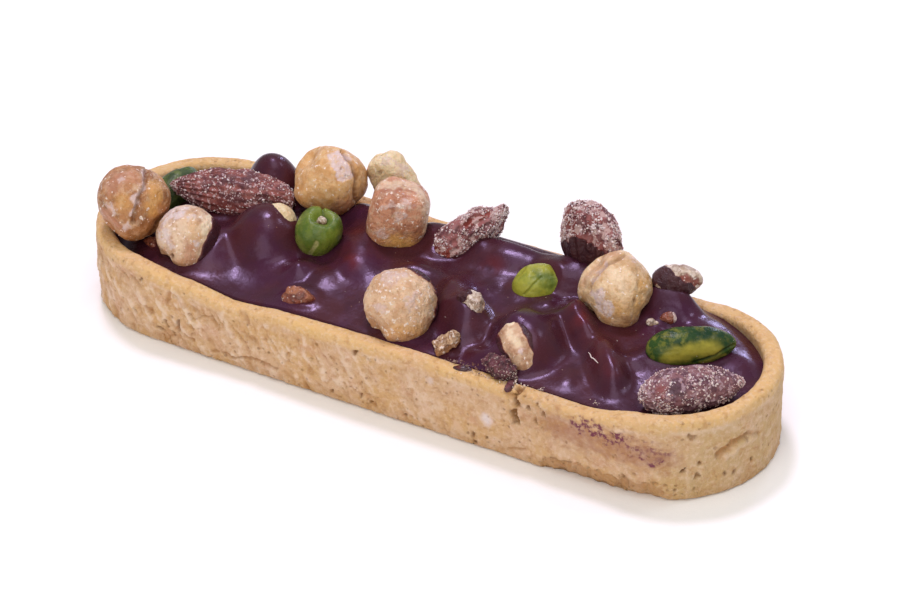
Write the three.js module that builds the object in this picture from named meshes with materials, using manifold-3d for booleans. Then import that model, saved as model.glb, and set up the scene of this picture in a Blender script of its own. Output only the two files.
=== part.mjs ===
// An oblong nut tartlet: a shortcrust case with straight sides and round ends, filled to the rim
// with chocolate glaze that runs over coated nuts, and topped with roasted hazelnuts, salted
// almonds, pistachios and small pieces of nut.
//
// Millimetres, +Z up. The origin is the middle of the flat base. +X runs along the tartlet and
// -Y is the long side that faces the viewer.
import * as THREE from "three";
import { mergeVertices } from "three/addons/utils/BufferGeometryUtils.js";
import Module from "manifold-3d";

const wasm = await Module();
wasm.setup();

// ---- driving dimensions ------------------------------------------------------------------

const LENGTH = 145; // outside, end to end
const WIDTH = 42; // outside, across
const RIM = 17; // height of the rim at the two ends and along the far side
const WALL = 3.5; // thickness of the pastry wall
const FLOOR = 3.5; // thickness of the pastry base
const TAPER = 0.1; // how far the wall leans in at its foot
const FOOT_ROUND = 0.7; // worn lower edge
const RIM_TILT = 0.005; // how fast the rim rises towards +X
const RIM_ROUND = 1.1; // rounding of the rim's two edges
const GAP = 0.3; // clearance between touching pieces
const MIDDLE = 2; // half width of the strip that closes the base and the glaze along their middle
const HALFWAY = 9; // inset of the ring halfway between the wall and that strip

const OUTER_R = WIDTH / 2;
const INNER_R = OUTER_R - WALL;
const HALF_STRAIGHT = LENGTH / 2 - OUTER_R; // where the straight sides meet the round ends

// The near rim slumped while baking, most of all at one place, and the far left one stands proud.
const NEAR_RIM_DROP = 1.7;
const SLUMP = { x: -32, depth: 1.6, spread: 7 };
const FAR_LEFT_RISE = 0.5;

// A stretch of the near lower edge is broken away.
const CHIP = { from: 36, to: 62, height: 3.0, depth: 2.6 };

// A crack runs down the near wall from a nick in the rim.
const CRACK = { x: 31.0, top: 15.8, foot: 8.4, width: 1.3, depth: 1.1 };

const COLOURS = {
  pastry: 0xd9b27c,
  chocolate: 0x4a2a2e,
  hazelnut: 0xd6a86a,
  almond: 0x7a4535,
  pistachio: 0x6f8f2a,
  chip: 0xb98a5c,
};

// ---- small helpers -----------------------------------------------------------------------

const smoothstep = (a, b, t) => {
  const s = Math.min(1, Math.max(0, (t - a) / (b - a)));
  return s * s * (3 - 2 * s);
};
const bell = (t) => Math.exp(-t * t);
// A slow, repeatable unevenness between about -1 and 1.
const waver = (a, b, seed) =>
  (Math.sin(a * 1.7 + seed * 2.3) +
    Math.sin(b * 1.3 - seed * 1.1 + 0.7 * a) +
    Math.sin((a + b) * 0.9 + seed * 5.1)) /
  3;

// ---- the round-ended outline ---------------------------------------------------------------

// How finely the case and the glaze are cut: stations along a straight side and round an end.
const CASE_STEPS = { side: 30, end: 12 };
const GLAZE_STEPS = { side: 36, end: 14 };

// Stations round the outline, symmetrical about the long axis: each is a point on the axis and an
// outward direction, so that the outline inset by d is the point plus (OUTER_R - d) directions.
function stations({ side, end }) {
  const list = [];
  for (const hand of [1, -1]) {
    for (let i = 0; i < end; i++) {
      const a = (Math.PI * (i + 0.5)) / end - Math.PI / 2;
      list.push({ x: hand * HALF_STRAIGHT, nx: hand * Math.cos(a), ny: hand * Math.sin(a) });
    }
    for (let i = 0; i <= side; i++)
      list.push({ x: hand * HALF_STRAIGHT * (1 - (2 * i) / side), nx: 0, ny: hand });
  }
  return list;
}

// A closed body from a profile carried round the outline. profileAt(station) gives points
// [inset, height] that start at the underside's middle and end at the top's middle.
function ringBody(around, profileAt) {
  const count = around.length;
  const profiles = around.map(profileAt);
  const rings = profiles[0].length;
  const position = [];
  around.forEach((s, i) =>
    profiles[i].forEach(([inset, z]) => {
      const reach = OUTER_R - inset;
      position.push(s.x + s.nx * reach, s.ny * reach, z);
    }),
  );
  const at = (i, ring) => (i % count) * rings + ring;
  const index = [];
  for (let i = 0; i < count; i++)
    for (let ring = 0; ring < rings - 1; ring++)
      index.push(
        ...[at(i, ring), at(i + 1, ring), at(i + 1, ring + 1)],
        ...[at(i, ring), at(i + 1, ring + 1), at(i, ring + 1)],
      );
  // The middle strips join each station to its mirror image across the long axis.
  const mirror = (i) => {
    const s = around[i];
    return around.findIndex(
      (o) =>
        Math.abs(o.x - s.x) < 1e-6 &&
        Math.abs(o.nx - s.nx) < 1e-6 &&
        Math.abs(o.ny + s.ny) < 1e-6,
    );
  };
  for (let i = 0; i < count; i++) {
    const next = (i + 1) % count;
    if (around[i].ny <= 0 || around[next].ny <= 0) continue;
    const [a, b, c, d] = [i, next, mirror(next), mirror(i)];
    index.push(...[at(a, 0), at(c, 0), at(b, 0)], ...[at(a, 0), at(d, 0), at(c, 0)]);
    const top = rings - 1;
    index.push(...[at(a, top), at(b, top), at(c, top)]);
    index.push(...[at(a, top), at(c, top), at(d, top)]);
  }
  const geometry = new THREE.BufferGeometry();
  geometry.setAttribute("position", new THREE.Float32BufferAttribute(position, 3));
  geometry.setIndex(index);
  return geometry;
}

// ---- solids, for joining and cutting -------------------------------------------------------

function solidOf(geometry) {
  const bare = geometry.clone();
  bare.deleteAttribute("normal");
  bare.deleteAttribute("uv");
  const merged = mergeVertices(bare, 1e-4);
  return new wasm.Manifold(
    new wasm.Mesh({
      numProp: 3,
      vertProperties: new Float32Array(merged.attributes.position.array),
      triVerts: new Uint32Array(merged.index.array),
    }),
  );
}

function geometryOf(solid) {
  const mesh = solid.getMesh();
  const geometry = new THREE.BufferGeometry();
  geometry.setAttribute("position", new THREE.BufferAttribute(mesh.vertProperties, 3));
  geometry.setIndex(new THREE.BufferAttribute(mesh.triVerts, 1));
  geometry.computeVertexNormals();
  return geometry;
}

// The largest body of a solid, without any crumb that a cut left loose.
function largest(solid) {
  return solid.decompose().reduce((a, b) => (b.volume() > a.volume() ? b : a));
}

// ---- pastry case ---------------------------------------------------------------------------

// Height of the rim: level at the ends and along the far side, lower along the near side.
function rimHeight(x, ny) {
  const near = smoothstep(0.2, 0.95, -ny) * smoothstep(56, 44, Math.abs(x));
  const slump = SLUMP.depth * bell((x - SLUMP.x) / SLUMP.spread);
  const rise = FAR_LEFT_RISE * smoothstep(0, 0.8, ny) * smoothstep(-20, -50, x);
  const sway = 0.2 * Math.sin(x * 0.11);
  return RIM + RIM_TILT * x + sway + rise - near * (NEAR_RIM_DROP + slump);
}

// How much of the lower edge is missing, from 0 to 1.
function chipShare(x, ny) {
  const along = smoothstep(CHIP.from, CHIP.from + 5, x) * smoothstep(CHIP.to, CHIP.to - 4, x);
  return along * smoothstep(0.6, 0.95, -ny) * (0.85 + 0.15 * Math.sin(x * 2.1));
}

function caseProfile({ x, nx, ny }) {
  const reachX = x + nx * OUTER_R;
  const rim = rimHeight(reachX, ny);
  const chip = chipShare(reachX, ny);
  const bulge = (z) => 0.25 * waver(reachX * 0.16 + ny, z * 0.3, 1) - (TAPER * (rim - z)) / rim;
  const foot = FOOT_ROUND + chip * CHIP.height;
  const cut = FOOT_ROUND + chip * CHIP.depth;
  return [
    [OUTER_R - MIDDLE, 0],
    [HALFWAY, 0],
    [TAPER + cut, 0],
    [TAPER + cut * 0.4, foot * 0.32],
    [-bulge(foot), foot],
    [-bulge(rim * 0.4), Math.max(rim * 0.4, foot + 0.8)],
    [-bulge(rim * 0.7), rim * 0.7],
    [-bulge(rim - RIM_ROUND), rim - RIM_ROUND],
    [RIM_ROUND * 0.35, rim - RIM_ROUND * 0.3],
    [RIM_ROUND, rim],
    [WALL - RIM_ROUND, rim],
    [WALL - RIM_ROUND * 0.3, rim - RIM_ROUND * 0.35],
    [WALL, rim - RIM_ROUND],
    [WALL, FLOOR + 1],
    [WALL + 1, FLOOR],
    [HALFWAY, FLOOR],
    [OUTER_R - MIDDLE, FLOOR],
  ];
}

// The wedge that opens the crack: a thin box with its width across the wall's face.
function crackCutter() {
  const height = CRACK.top - CRACK.foot + 3;
  const wedge = new THREE.CylinderGeometry(CRACK.width * 0.75, CRACK.width * 0.25, height, 5);
  wedge.scale(1, 1, (2 * CRACK.depth) / (CRACK.width * 1.5));
  wedge.rotateX(Math.PI / 2);
  wedge.rotateY(0.1);
  wedge.translate(CRACK.x, -OUTER_R + 0.1, CRACK.foot + height / 2);
  return solidOf(wedge);
}

function pastryCase() {
  const body = solidOf(ringBody(stations(CASE_STEPS), caseProfile));
  return geometryOf(largest(body.subtract(crackCutter())));
}

// ---- nuts ----------------------------------------------------------------------------------

// Each shape takes a unit direction, with z along the nut, and gives a point of a nut that is
// about 2 across in x and y and 2 long in z.
const SHAPES = {
  // Round, with a blunt tip, a flattened scar at the foot and a few soft facets.
  hazelnut: (d, seed) => {
    const turn = Math.atan2(d.y, d.x);
    const waist = 1 - d.z * d.z;
    const tip = 0.12 * Math.pow(Math.max(0, d.z), 4);
    const scar = 0.1 * Math.pow(Math.max(0, -d.z), 3);
    const facets = waist * (0.035 * Math.sin(3 * turn + seed) + 0.03 * Math.sin(2 * turn - seed));
    const crease = 0.07 * bell(Math.atan2(Math.sin(turn), Math.cos(turn)) / 0.28) * waist;
    return d.clone().multiplyScalar(1 + tip - scar + facets - crease);
  },
  // A hazelnut with flat sides and rounded corners.
  blocky: (d, seed) => {
    const power = 3.2;
    const sum = [d.x, d.y, d.z].reduce((total, c) => total + Math.pow(Math.abs(c), power), 0);
    const facets = 0.02 * Math.sin(3 * Math.atan2(d.y, d.x) + seed);
    return d.clone().multiplyScalar(0.95 * Math.pow(sum, -1 / power) + facets);
  },
  // A drop: broad near one end, drawn to a point at the other.
  almond: (d, seed) => {
    const taper = 1 - 0.22 * d.z - 0.3 * Math.pow(Math.max(0, d.z), 5);
    const turn = Math.atan2(d.y, d.x);
    const ridges = 1 + 0.025 * Math.sin(5 * turn + seed);
    return new THREE.Vector3(d.x * taper * ridges, d.y * taper * ridges, d.z);
  },
  // Long, blunt at both ends, with a keel along one side.
  pistachio: (d, seed) => {
    const taper = 1 - 0.12 * d.z;
    const turn = Math.atan2(d.y, d.x);
    const keel = 1 + 0.07 * Math.cos(turn) + 0.03 * Math.sin(3 * turn + seed);
    return new THREE.Vector3(d.x * taper * keel, d.y * taper * keel, d.z);
  },
  // Upright, with a dimple in its top and its foot drawn in.
  dimpled: (d, seed) => {
    const taper = 1 + 0.2 * d.z - 0.28 * Math.pow(Math.max(0, -d.z), 2.5);
    const across = Math.hypot(d.x, d.y);
    const dimple = d.z > 0 ? 0.34 * bell(across / 0.34) : 0;
    const ridges = 1 + 0.03 * Math.sin(4 * Math.atan2(d.y, d.x) + seed);
    return new THREE.Vector3(d.x * taper * ridges, d.y * taper * ridges, d.z - dimple);
  },
  // A broken piece with uneven corners.
  chip: (d, seed) => {
    const rough = 1 + 0.16 * waver(d.x * 2.4, d.y * 2.4 + d.z * 1.9, seed);
    return d.clone().multiplyScalar(rough);
  },
};

// A nut's own name says its kind. `at` is its middle; `along` is the way that its tip points;
// `size` is its width, thickness and length; `roll` turns it about its length, in degrees.
// `fine` is how finely its faces are cut.
const NUTS = {
  hazelnut_1: { at: [-60.9, -9.2, 22.2], along: [0.35, -0.83, -0.42], size: [14.4, 14.0, 14.6], roll: 60 },
  hazelnut_2: { at: [-48.2, -9.7, 18.3], along: [0.24, -0.9, -0.35], size: [12.6, 12.2, 12.8], roll: 20 },
  hazelnut_3: { at: [-30.0, 13.3, 23.5], along: [0.5, -0.2, 0.85], size: [14.0, 13.8, 13.6], roll: 0 },
  hazelnut_4: { at: [-19.8, 20.2, 22.9], along: [-0.5, -0.05, 0.85], size: [10.2, 5.8, 12.4], roll: 0 },
  hazelnut_5: {
    ...{ at: [-13.0, 10.4, 22.4], along: [0.16, 0.1, 0.98], size: [12.2, 12.0, 14.0], roll: 24 },
    shape: "blocky",
  },
  hazelnut_6: { at: [0.8, -11.0, 19.4], along: [0.3, -0.5, -0.8], size: [13.9, 13.6, 14.6], roll: 10 },
  hazelnut_7: { at: [35.4, 9.2, 22.0], along: [0.59, -0.7, -0.35], size: [13.8, 13.4, 14.8], roll: 200 },
  hazelnut_8: { at: [25.7, -10.1, 17.0], along: [0.5, -0.6, -0.3], size: [9.4, 9.2, 11.6], roll: 0 },
  almond_1: { at: [-46.9, 4.0, 20.7], along: [-0.954, -0.295, 0.04], size: [9.4, 7.2, 25.0], roll: 50 },
  almond_2: { at: [1.1, 14.1, 20.7], along: [0.5, 0.72, 0.44], size: [7.8, 6.2, 17.4], roll: 40 },
  almond_3: { at: [25.8, 16.9, 24.6], along: [-0.04, -0.1, -0.99], size: [13.2, 6.8, 16.4], roll: -32 },
  almond_4: { at: [60.6, -8.0, 18.2], along: [0.75, 0.66, 0.02], size: [8.6, 7.4, 19.4], roll: 40 },
  pistachio_1: { at: [-60.3, 3.0, 18.2], along: [0.3, 0.85, 0.3], size: [7.2, 6.6, 12.0], roll: 0 },
  pistachio_2: {
    ...{ at: [-25.4, 0.9, 19.5], along: [0.32, -0.1, 0.94], size: [9.0, 8.6, 12.8], roll: 0 },
    shape: "dimpled",
  },
  pistachio_3: { at: [19.7, 7.7, 18.6], along: [0.68, 0.73, 0.05], size: [8.8, 7.4, 10.4], roll: 20 },
  pistachio_4: { at: [54.3, 3.2, 18.7], along: [0.79, 0.61, 0.0], size: [8.2, 7.0, 17.0], roll: 30 },
  chip_1: { at: [-20.2, -13.9, 15.5], along: [0.9, 0.1, -0.35], size: [5.0, 4.6, 7.2], roll: 0 },
  chip_2: { at: [12.9, -5.8, 20.3], along: [0.9, 0.3, -0.2], size: [4.4, 4.0, 5.2], roll: 0 },
  chip_3: { at: [44.9, 15.8, 22.7], along: [0.86, 0.51, -0.05], size: [6.0, 5.6, 9.6], roll: 0 },
  chip_4: { at: [-56.2, -10.8, 14.3], along: [0.9, -0.1, 0.3], size: [3.4, 3.2, 5.4], roll: 0 },
  chip_5: { at: [12.9, -15.3, 17.2], along: [0.7, 0.5, 0.5], size: [3.2, 4.6, 6.4], roll: 0 },
  chip_6: { at: [46.4, 9.8, 18.5], along: [0.8, 0.6, 0.1], size: [2.8, 2.6, 3.6], roll: 0 },
};

const KIND_SETTINGS = {
  hazelnut: { fine: 3, colour: COLOURS.hazelnut, roughness: 0.55 },
  almond: { fine: 3, colour: COLOURS.almond, roughness: 0.8 },
  pistachio: { fine: 2, colour: COLOURS.pistachio, roughness: 0.45 },
  chip: { fine: 1, colour: COLOURS.chip, roughness: 0.7 },
};

// One nut's geometry in place. `swell` grows it evenly, to cut the bed that it sits in.
function nutGeometry(name, swell = 0) {
  const kind = name.split("_")[0];
  const nut = NUTS[name];
  const shape = SHAPES[nut.shape ?? kind];
  const seed = name.charCodeAt(name.length - 1) * 1.7;
  const geometry = new THREE.IcosahedronGeometry(1, KIND_SETTINGS[kind].fine);
  const position = geometry.getAttribute("position");
  const half = nut.size.map((s) => s / 2 + swell);
  const direction = new THREE.Vector3();
  for (let i = 0; i < position.count; i++) {
    direction.fromBufferAttribute(position, i).normalize();
    const p = shape(direction, seed);
    position.setXYZ(i, p.x * half[0], p.y * half[1], p.z * half[2]);
  }
  geometry.rotateZ(THREE.MathUtils.degToRad(nut.roll));
  const tip = new THREE.Vector3(...nut.along).normalize();
  geometry.applyQuaternion(
    new THREE.Quaternion().setFromUnitVectors(new THREE.Vector3(0, 0, 1), tip),
  );
  geometry.translate(...nut.at);
  geometry.deleteAttribute("normal");
  geometry.deleteAttribute("uv");
  return geometry;
}

// ---- chocolate filling ---------------------------------------------------------------------

// Coated nuts that show as lumps: middle, height above the bed, reach along and across, and the
// direction of the longer reach in degrees from +X.
const LUMPS = [
  { x: -36.0, y: -1.6, high: 6.6, long: 8.0, wide: 7.4, turn: 0 }, // the big smooth dome
  { x: -42.2, y: 12.0, high: 9.4, long: 7.0, wide: 6.6, turn: 0 }, // behind the long almond
  { x: -20.0, y: 13.4, high: 3.2, long: 7.0, wide: 5.6, turn: 0 }, // under the half hazelnut
  { x: -17.4, y: 3.4, high: 2.2, long: 7.6, wide: 4.4, turn: -55 }, // ridge beside the pistachio
  { x: -5.4, y: 8.8, high: 1.2, long: 3.6, wide: 3.2, turn: 0 },
  { x: -4.4, y: 14.2, high: 3.8, long: 7.0, wide: 5.4, turn: 0 }, // behind the boxy hazelnut
  { x: -42.8, y: -8.6, high: 3.0, long: 6.4, wide: 4.0, turn: -80 }, // bank beside a hazelnut
  { x: 8.2, y: -3.6, high: 3.0, long: 6.4, wide: 4.0, turn: -62 }, // lip round a hazelnut
  { x: 12.8, y: -7.4, high: 3.6, long: 6.6, wide: 4.6, turn: -55 },
  { x: 11.0, y: 14.6, high: 4.4, long: 11.0, wide: 7.0, turn: 6 }, // broad mound at the back
  { x: 26.0, y: -8.0, high: 5.4, long: 8.4, wide: 7.2, turn: -40 }, // over the sunken hazelnut
  { x: 31.6, y: 1.6, high: 3.2, long: 6.6, wide: 3.4, turn: -42 }, // coated almond
  { x: 43.6, y: -7.6, high: 3.6, long: 8.0, wide: 4.0, turn: -32 }, // coated almond
  { x: 44.4, y: 14.2, high: 5.4, long: 7.0, wide: 6.0, turn: 0 }, // lump at the far right
  { x: 45.6, y: 8.6, high: 1.4, long: 3.6, wide: 3.2, turn: 0 },
  { x: 23.8, y: 13.6, high: 5.0, long: 9.0, wide: 6.4, turn: 0 }, // foot of the standing almond
  { x: 22.8, y: -15.2, high: 2.2, long: 5.0, wide: 2.8, turn: -10 }, // crumbly patch at the rim
];

const BED = 15.0; // level of the glaze against the near rim
const CROWN = 2.8; // how much the bed rises towards the far side
const FAR_FALL = 1.2; // how far it sinks again towards the far rim
const END_DROP = 2.6; // how far the bed sinks at the two ends
const FOOT = 1.2; // slope round the underside, clear of the fillet inside the case
const TOP_RINGS = 10; // rings from the wall to the middle, on top
const TOP_STRIP = 0.6; // half width of the strip that closes the top

// A rounded dome, 1 at its middle and 0 from its reach outwards.
function lumpHeight(lump, x, y) {
  const a = THREE.MathUtils.degToRad(lump.turn);
  const along = (x - lump.x) * Math.cos(a) + (y - lump.y) * Math.sin(a);
  const across = (y - lump.y) * Math.cos(a) - (x - lump.x) * Math.sin(a);
  const share = Math.hypot(along / lump.long, across / lump.wide);
  return share < 1 ? lump.high * (1 - Math.pow(share, 2.4)) : 0;
}

// Height of the glaze at a point: a gently crowned bed, lower at the ends, plus its lumps.
function glazeHeight(x, y) {
  const crown = CROWN * smoothstep(-INNER_R, 4, y) - FAR_FALL * smoothstep(8, INNER_R, y);
  const ends = END_DROP * smoothstep(48, 66, Math.abs(x));
  const edge = INNER_R - Math.hypot(Math.max(0, Math.abs(x) - HALF_STRAIGHT), y);
  const slump = 1.3 * bell((x - SLUMP.x) / SLUMP.spread) * smoothstep(-6, -15, y);
  const lumps = Math.hypot(...LUMPS.map((lump) => lumpHeight(lump, x, y)));
  return BED + crown - ends - slump + lumps * smoothstep(0, 2.5, edge);
}

function glazeProfile({ x, nx, ny }) {
  const outer = WALL + GAP;
  const top = [];
  for (let i = 0; i <= TOP_RINGS; i++) {
    const inset = outer + ((OUTER_R - TOP_STRIP - outer) * i) / TOP_RINGS;
    const reach = OUTER_R - inset;
    top.push([inset, glazeHeight(x + nx * reach, ny * reach)]);
  }
  return [
    [OUTER_R - MIDDLE, FLOOR + GAP],
    [outer + FOOT, FLOOR + GAP],
    [outer, FLOOR + GAP + FOOT],
    ...top,
  ];
}

function glaze() {
  let body = solidOf(ringBody(stations(GLAZE_STEPS), glazeProfile));
  for (const name of Object.keys(NUTS)) body = body.subtract(solidOf(nutGeometry(name, GAP)));
  return geometryOf(largest(body));
}

// ---- the tartlet ---------------------------------------------------------------------------

function meshOf(name, geometry, colour, roughness) {
  const material = new THREE.MeshStandardMaterial({ color: colour, roughness, metalness: 0 });
  const mesh = new THREE.Mesh(geometry, material);
  mesh.name = name;
  return mesh;
}

const tartlet = new THREE.Group();
tartlet.add(meshOf("pastry_case", pastryCase(), COLOURS.pastry, 0.85));
tartlet.add(meshOf("chocolate_glaze", glaze(), COLOURS.chocolate, 0.25));
for (const name of Object.keys(NUTS)) {
  const { colour, roughness } = KIND_SETTINGS[name.split("_")[0]];
  tartlet.add(meshOf(name, nutGeometry(name), colour, roughness));
}

export default tartlet;
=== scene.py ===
"""The looks of an oblong nut tartlet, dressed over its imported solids.

Shapes are worked out in millimetres, in the frame of the solids, and become metres when they are
made meshes. +X runs along the tartlet, -Y is the side that faces the viewer and +Z is up.
"""

import sys
import itertools
import logging
from dataclasses import dataclass, field, replace
from enum import Enum
from typing import Callable, Iterable, Sequence, Union

import bpy
import numpy as np
from mathutils import Matrix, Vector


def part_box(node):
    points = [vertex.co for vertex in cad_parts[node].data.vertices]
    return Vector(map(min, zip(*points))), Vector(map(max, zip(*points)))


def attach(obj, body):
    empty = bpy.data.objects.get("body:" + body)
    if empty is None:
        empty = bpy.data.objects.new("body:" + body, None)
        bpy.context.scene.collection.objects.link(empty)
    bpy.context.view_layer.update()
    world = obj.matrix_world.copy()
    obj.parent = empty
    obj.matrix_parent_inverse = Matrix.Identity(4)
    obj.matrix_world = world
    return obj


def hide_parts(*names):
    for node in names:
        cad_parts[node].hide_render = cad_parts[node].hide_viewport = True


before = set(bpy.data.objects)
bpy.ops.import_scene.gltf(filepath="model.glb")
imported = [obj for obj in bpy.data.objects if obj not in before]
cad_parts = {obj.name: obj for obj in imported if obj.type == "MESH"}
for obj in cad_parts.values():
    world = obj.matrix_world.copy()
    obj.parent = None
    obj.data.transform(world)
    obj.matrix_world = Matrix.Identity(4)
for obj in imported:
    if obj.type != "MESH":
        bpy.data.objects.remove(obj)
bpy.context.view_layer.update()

Array = np.ndarray
Socket = bpy.types.NodeSocket
Feed = Union[Socket, float, Sequence[float]]
LOG = logging.getLogger("tartlet")

MM = 0.001
BODY = "root"
PHOTO_WIDTH = 900


# ---- numbers and noise ---------------------------------------------------------------------------


def smoothstep(low: float, high: float, value: Array) -> Array:
    """Rises smoothly from 0 at low to 1 at high, or falls where high is below low."""
    share = np.clip((value - low) / (high - low), 0, 1)
    return share * share * (3 - 2 * share)


def bell(value: Array) -> Array:
    """A bell curve, 1 at 0 and near 0 beyond 2."""
    return np.exp(-value * value)


def unit(vectors: Array) -> Array:
    """The vectors, each with length 1."""
    return vectors / np.maximum(np.linalg.norm(vectors, axis=-1, keepdims=True), 1e-12)


def soft_max(a: Array, b: Array, blend: float) -> Array:
    """The higher of two heights, with a fillet about as wide as blend where they cross."""
    return (a + b + np.sqrt((a - b) ** 2 + blend * blend)) / 2


def ink(red: float, green: float, blue: float) -> tuple[float, float, float]:
    """A linear colour from display values of 0 to 255."""
    share = np.array([red, green, blue]) / 255
    return tuple(np.where(share <= 0.04045, share / 12.92, ((share + 0.055) / 1.055) ** 2.4).tolist())


class Noise:
    """Smooth gradient noise in space: each lattice point has a slope, and they are blended."""

    CELLS = 256

    def __init__(self, seed: int) -> None:
        """Draws the lattice's order and slopes from the seed."""
        rng = np.random.default_rng(seed)
        self._order = rng.permutation(self.CELLS)
        self._slopes = unit(rng.normal(size=(self.CELLS, 3)))

    def __call__(self, points: Array, size: Union[float, Sequence[float]]) -> Array:
        """Noise between about -1 and 1.

        Args:
            points: Places in space, with x, y, z last.
            size: How far apart its bumps are, in all directions or in each.

        Returns:
            One value for each place.
        """
        place = points / np.asarray(size, float)
        cell = np.floor(place).astype(int)
        part = place - cell
        ease = part**3 * (part * (part * 6 - 15) + 10)
        total = np.zeros(points.shape[:-1])
        for corner in itertools.product((0, 1), repeat=3):
            step = np.array(corner)
            key = np.zeros(points.shape[:-1], int)
            for axis in range(3):
                key = self._order[(key + cell[..., axis] + corner[axis]) % self.CELLS]
            weight = np.prod(np.where(step, ease, 1 - ease), axis=-1)
            total += weight * ((part - step) * self._slopes[key]).sum(-1)
        return total * 1.7

    def rough(self, points: Array, size: Union[float, Sequence[float]], layers: int = 3) -> Array:
        """Noise with finer layers on it, each half as large and half as strong."""
        scale = np.asarray(size, float)
        return sum(self(points + 9.1 * i, scale / 2**i) / 2**i for i in range(layers))


NOISE = Noise(11)


def distance_to_path(points: Array, path: Array) -> Array:
    """Distance from each point to a line through the path's points, the least over its stretches."""
    nearest = np.full(points.shape[:-1], np.inf)
    for start, end in zip(path[:-1], path[1:]):
        run = end - start
        share = np.clip(((points - start) @ run) / (run @ run), 0, 1)
        gap = np.linalg.norm(points - start - share[..., None] * run, axis=-1)
        nearest = np.minimum(nearest, gap)
    return nearest


# ---- the viewer ----------------------------------------------------------------------------------


@dataclass(frozen=True)
class Viewer:
    """Where the photograph was taken from, found by fitting the case's outline."""

    azimuth: float = 32.159
    elevation: float = 34.406
    roll: float = -2.0
    distance: float = 748.9
    focal_px: float = 3931.3
    target: tuple[float, float, float] = (0.0, 0.0, 10.0)
    target_off_centre_px: tuple[float, float] = (-20.13, -13.61)  # right and up of the middle
    sensor_mm: float = 36.0

    def axes(self) -> tuple[Array, Array, Array]:
        """The view's right, up and back directions, back being from the tartlet to the viewer."""
        turn, lift, roll = np.radians([self.azimuth, self.elevation, self.roll])
        back = np.array([np.sin(turn) * np.cos(lift), -np.cos(turn) * np.cos(lift), np.sin(lift)])
        level = unit(np.cross([0, 0, 1], back))
        upright = np.cross(back, level)
        right = level * np.cos(roll) + upright * np.sin(roll)
        return right, np.cross(back, right), back

    def camera(self) -> bpy.types.Object:
        """Makes the camera, aimed so that the target falls where the photograph has it."""
        right, upward, back = self.axes()
        eye = np.array(self.target) + back * self.distance
        off_right, off_up = self.target_off_centre_px
        aim_back = unit(back * self.focal_px + right * off_right + upward * off_up)
        aim_up = unit(upward - aim_back * (upward @ aim_back))
        aim_right = np.cross(aim_up, aim_back)
        data = bpy.data.cameras.new("viewer")
        data.sensor_fit = "HORIZONTAL"
        data.sensor_width = self.sensor_mm
        data.lens = self.focal_px * self.sensor_mm / PHOTO_WIDTH
        data.clip_start = 0.01
        camera = bpy.data.objects.new("viewer", data)
        turned = np.eye(4)
        turned[:3, :3] = np.column_stack([aim_right, aim_up, aim_back])
        turned[:3, 3] = eye * MM
        camera.matrix_world = Matrix(turned.tolist())
        bpy.context.scene.collection.objects.link(camera)
        bpy.context.scene.camera = camera
        return camera


VIEWER = Viewer()


# ---- closed surfaces -----------------------------------------------------------------------------


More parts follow.
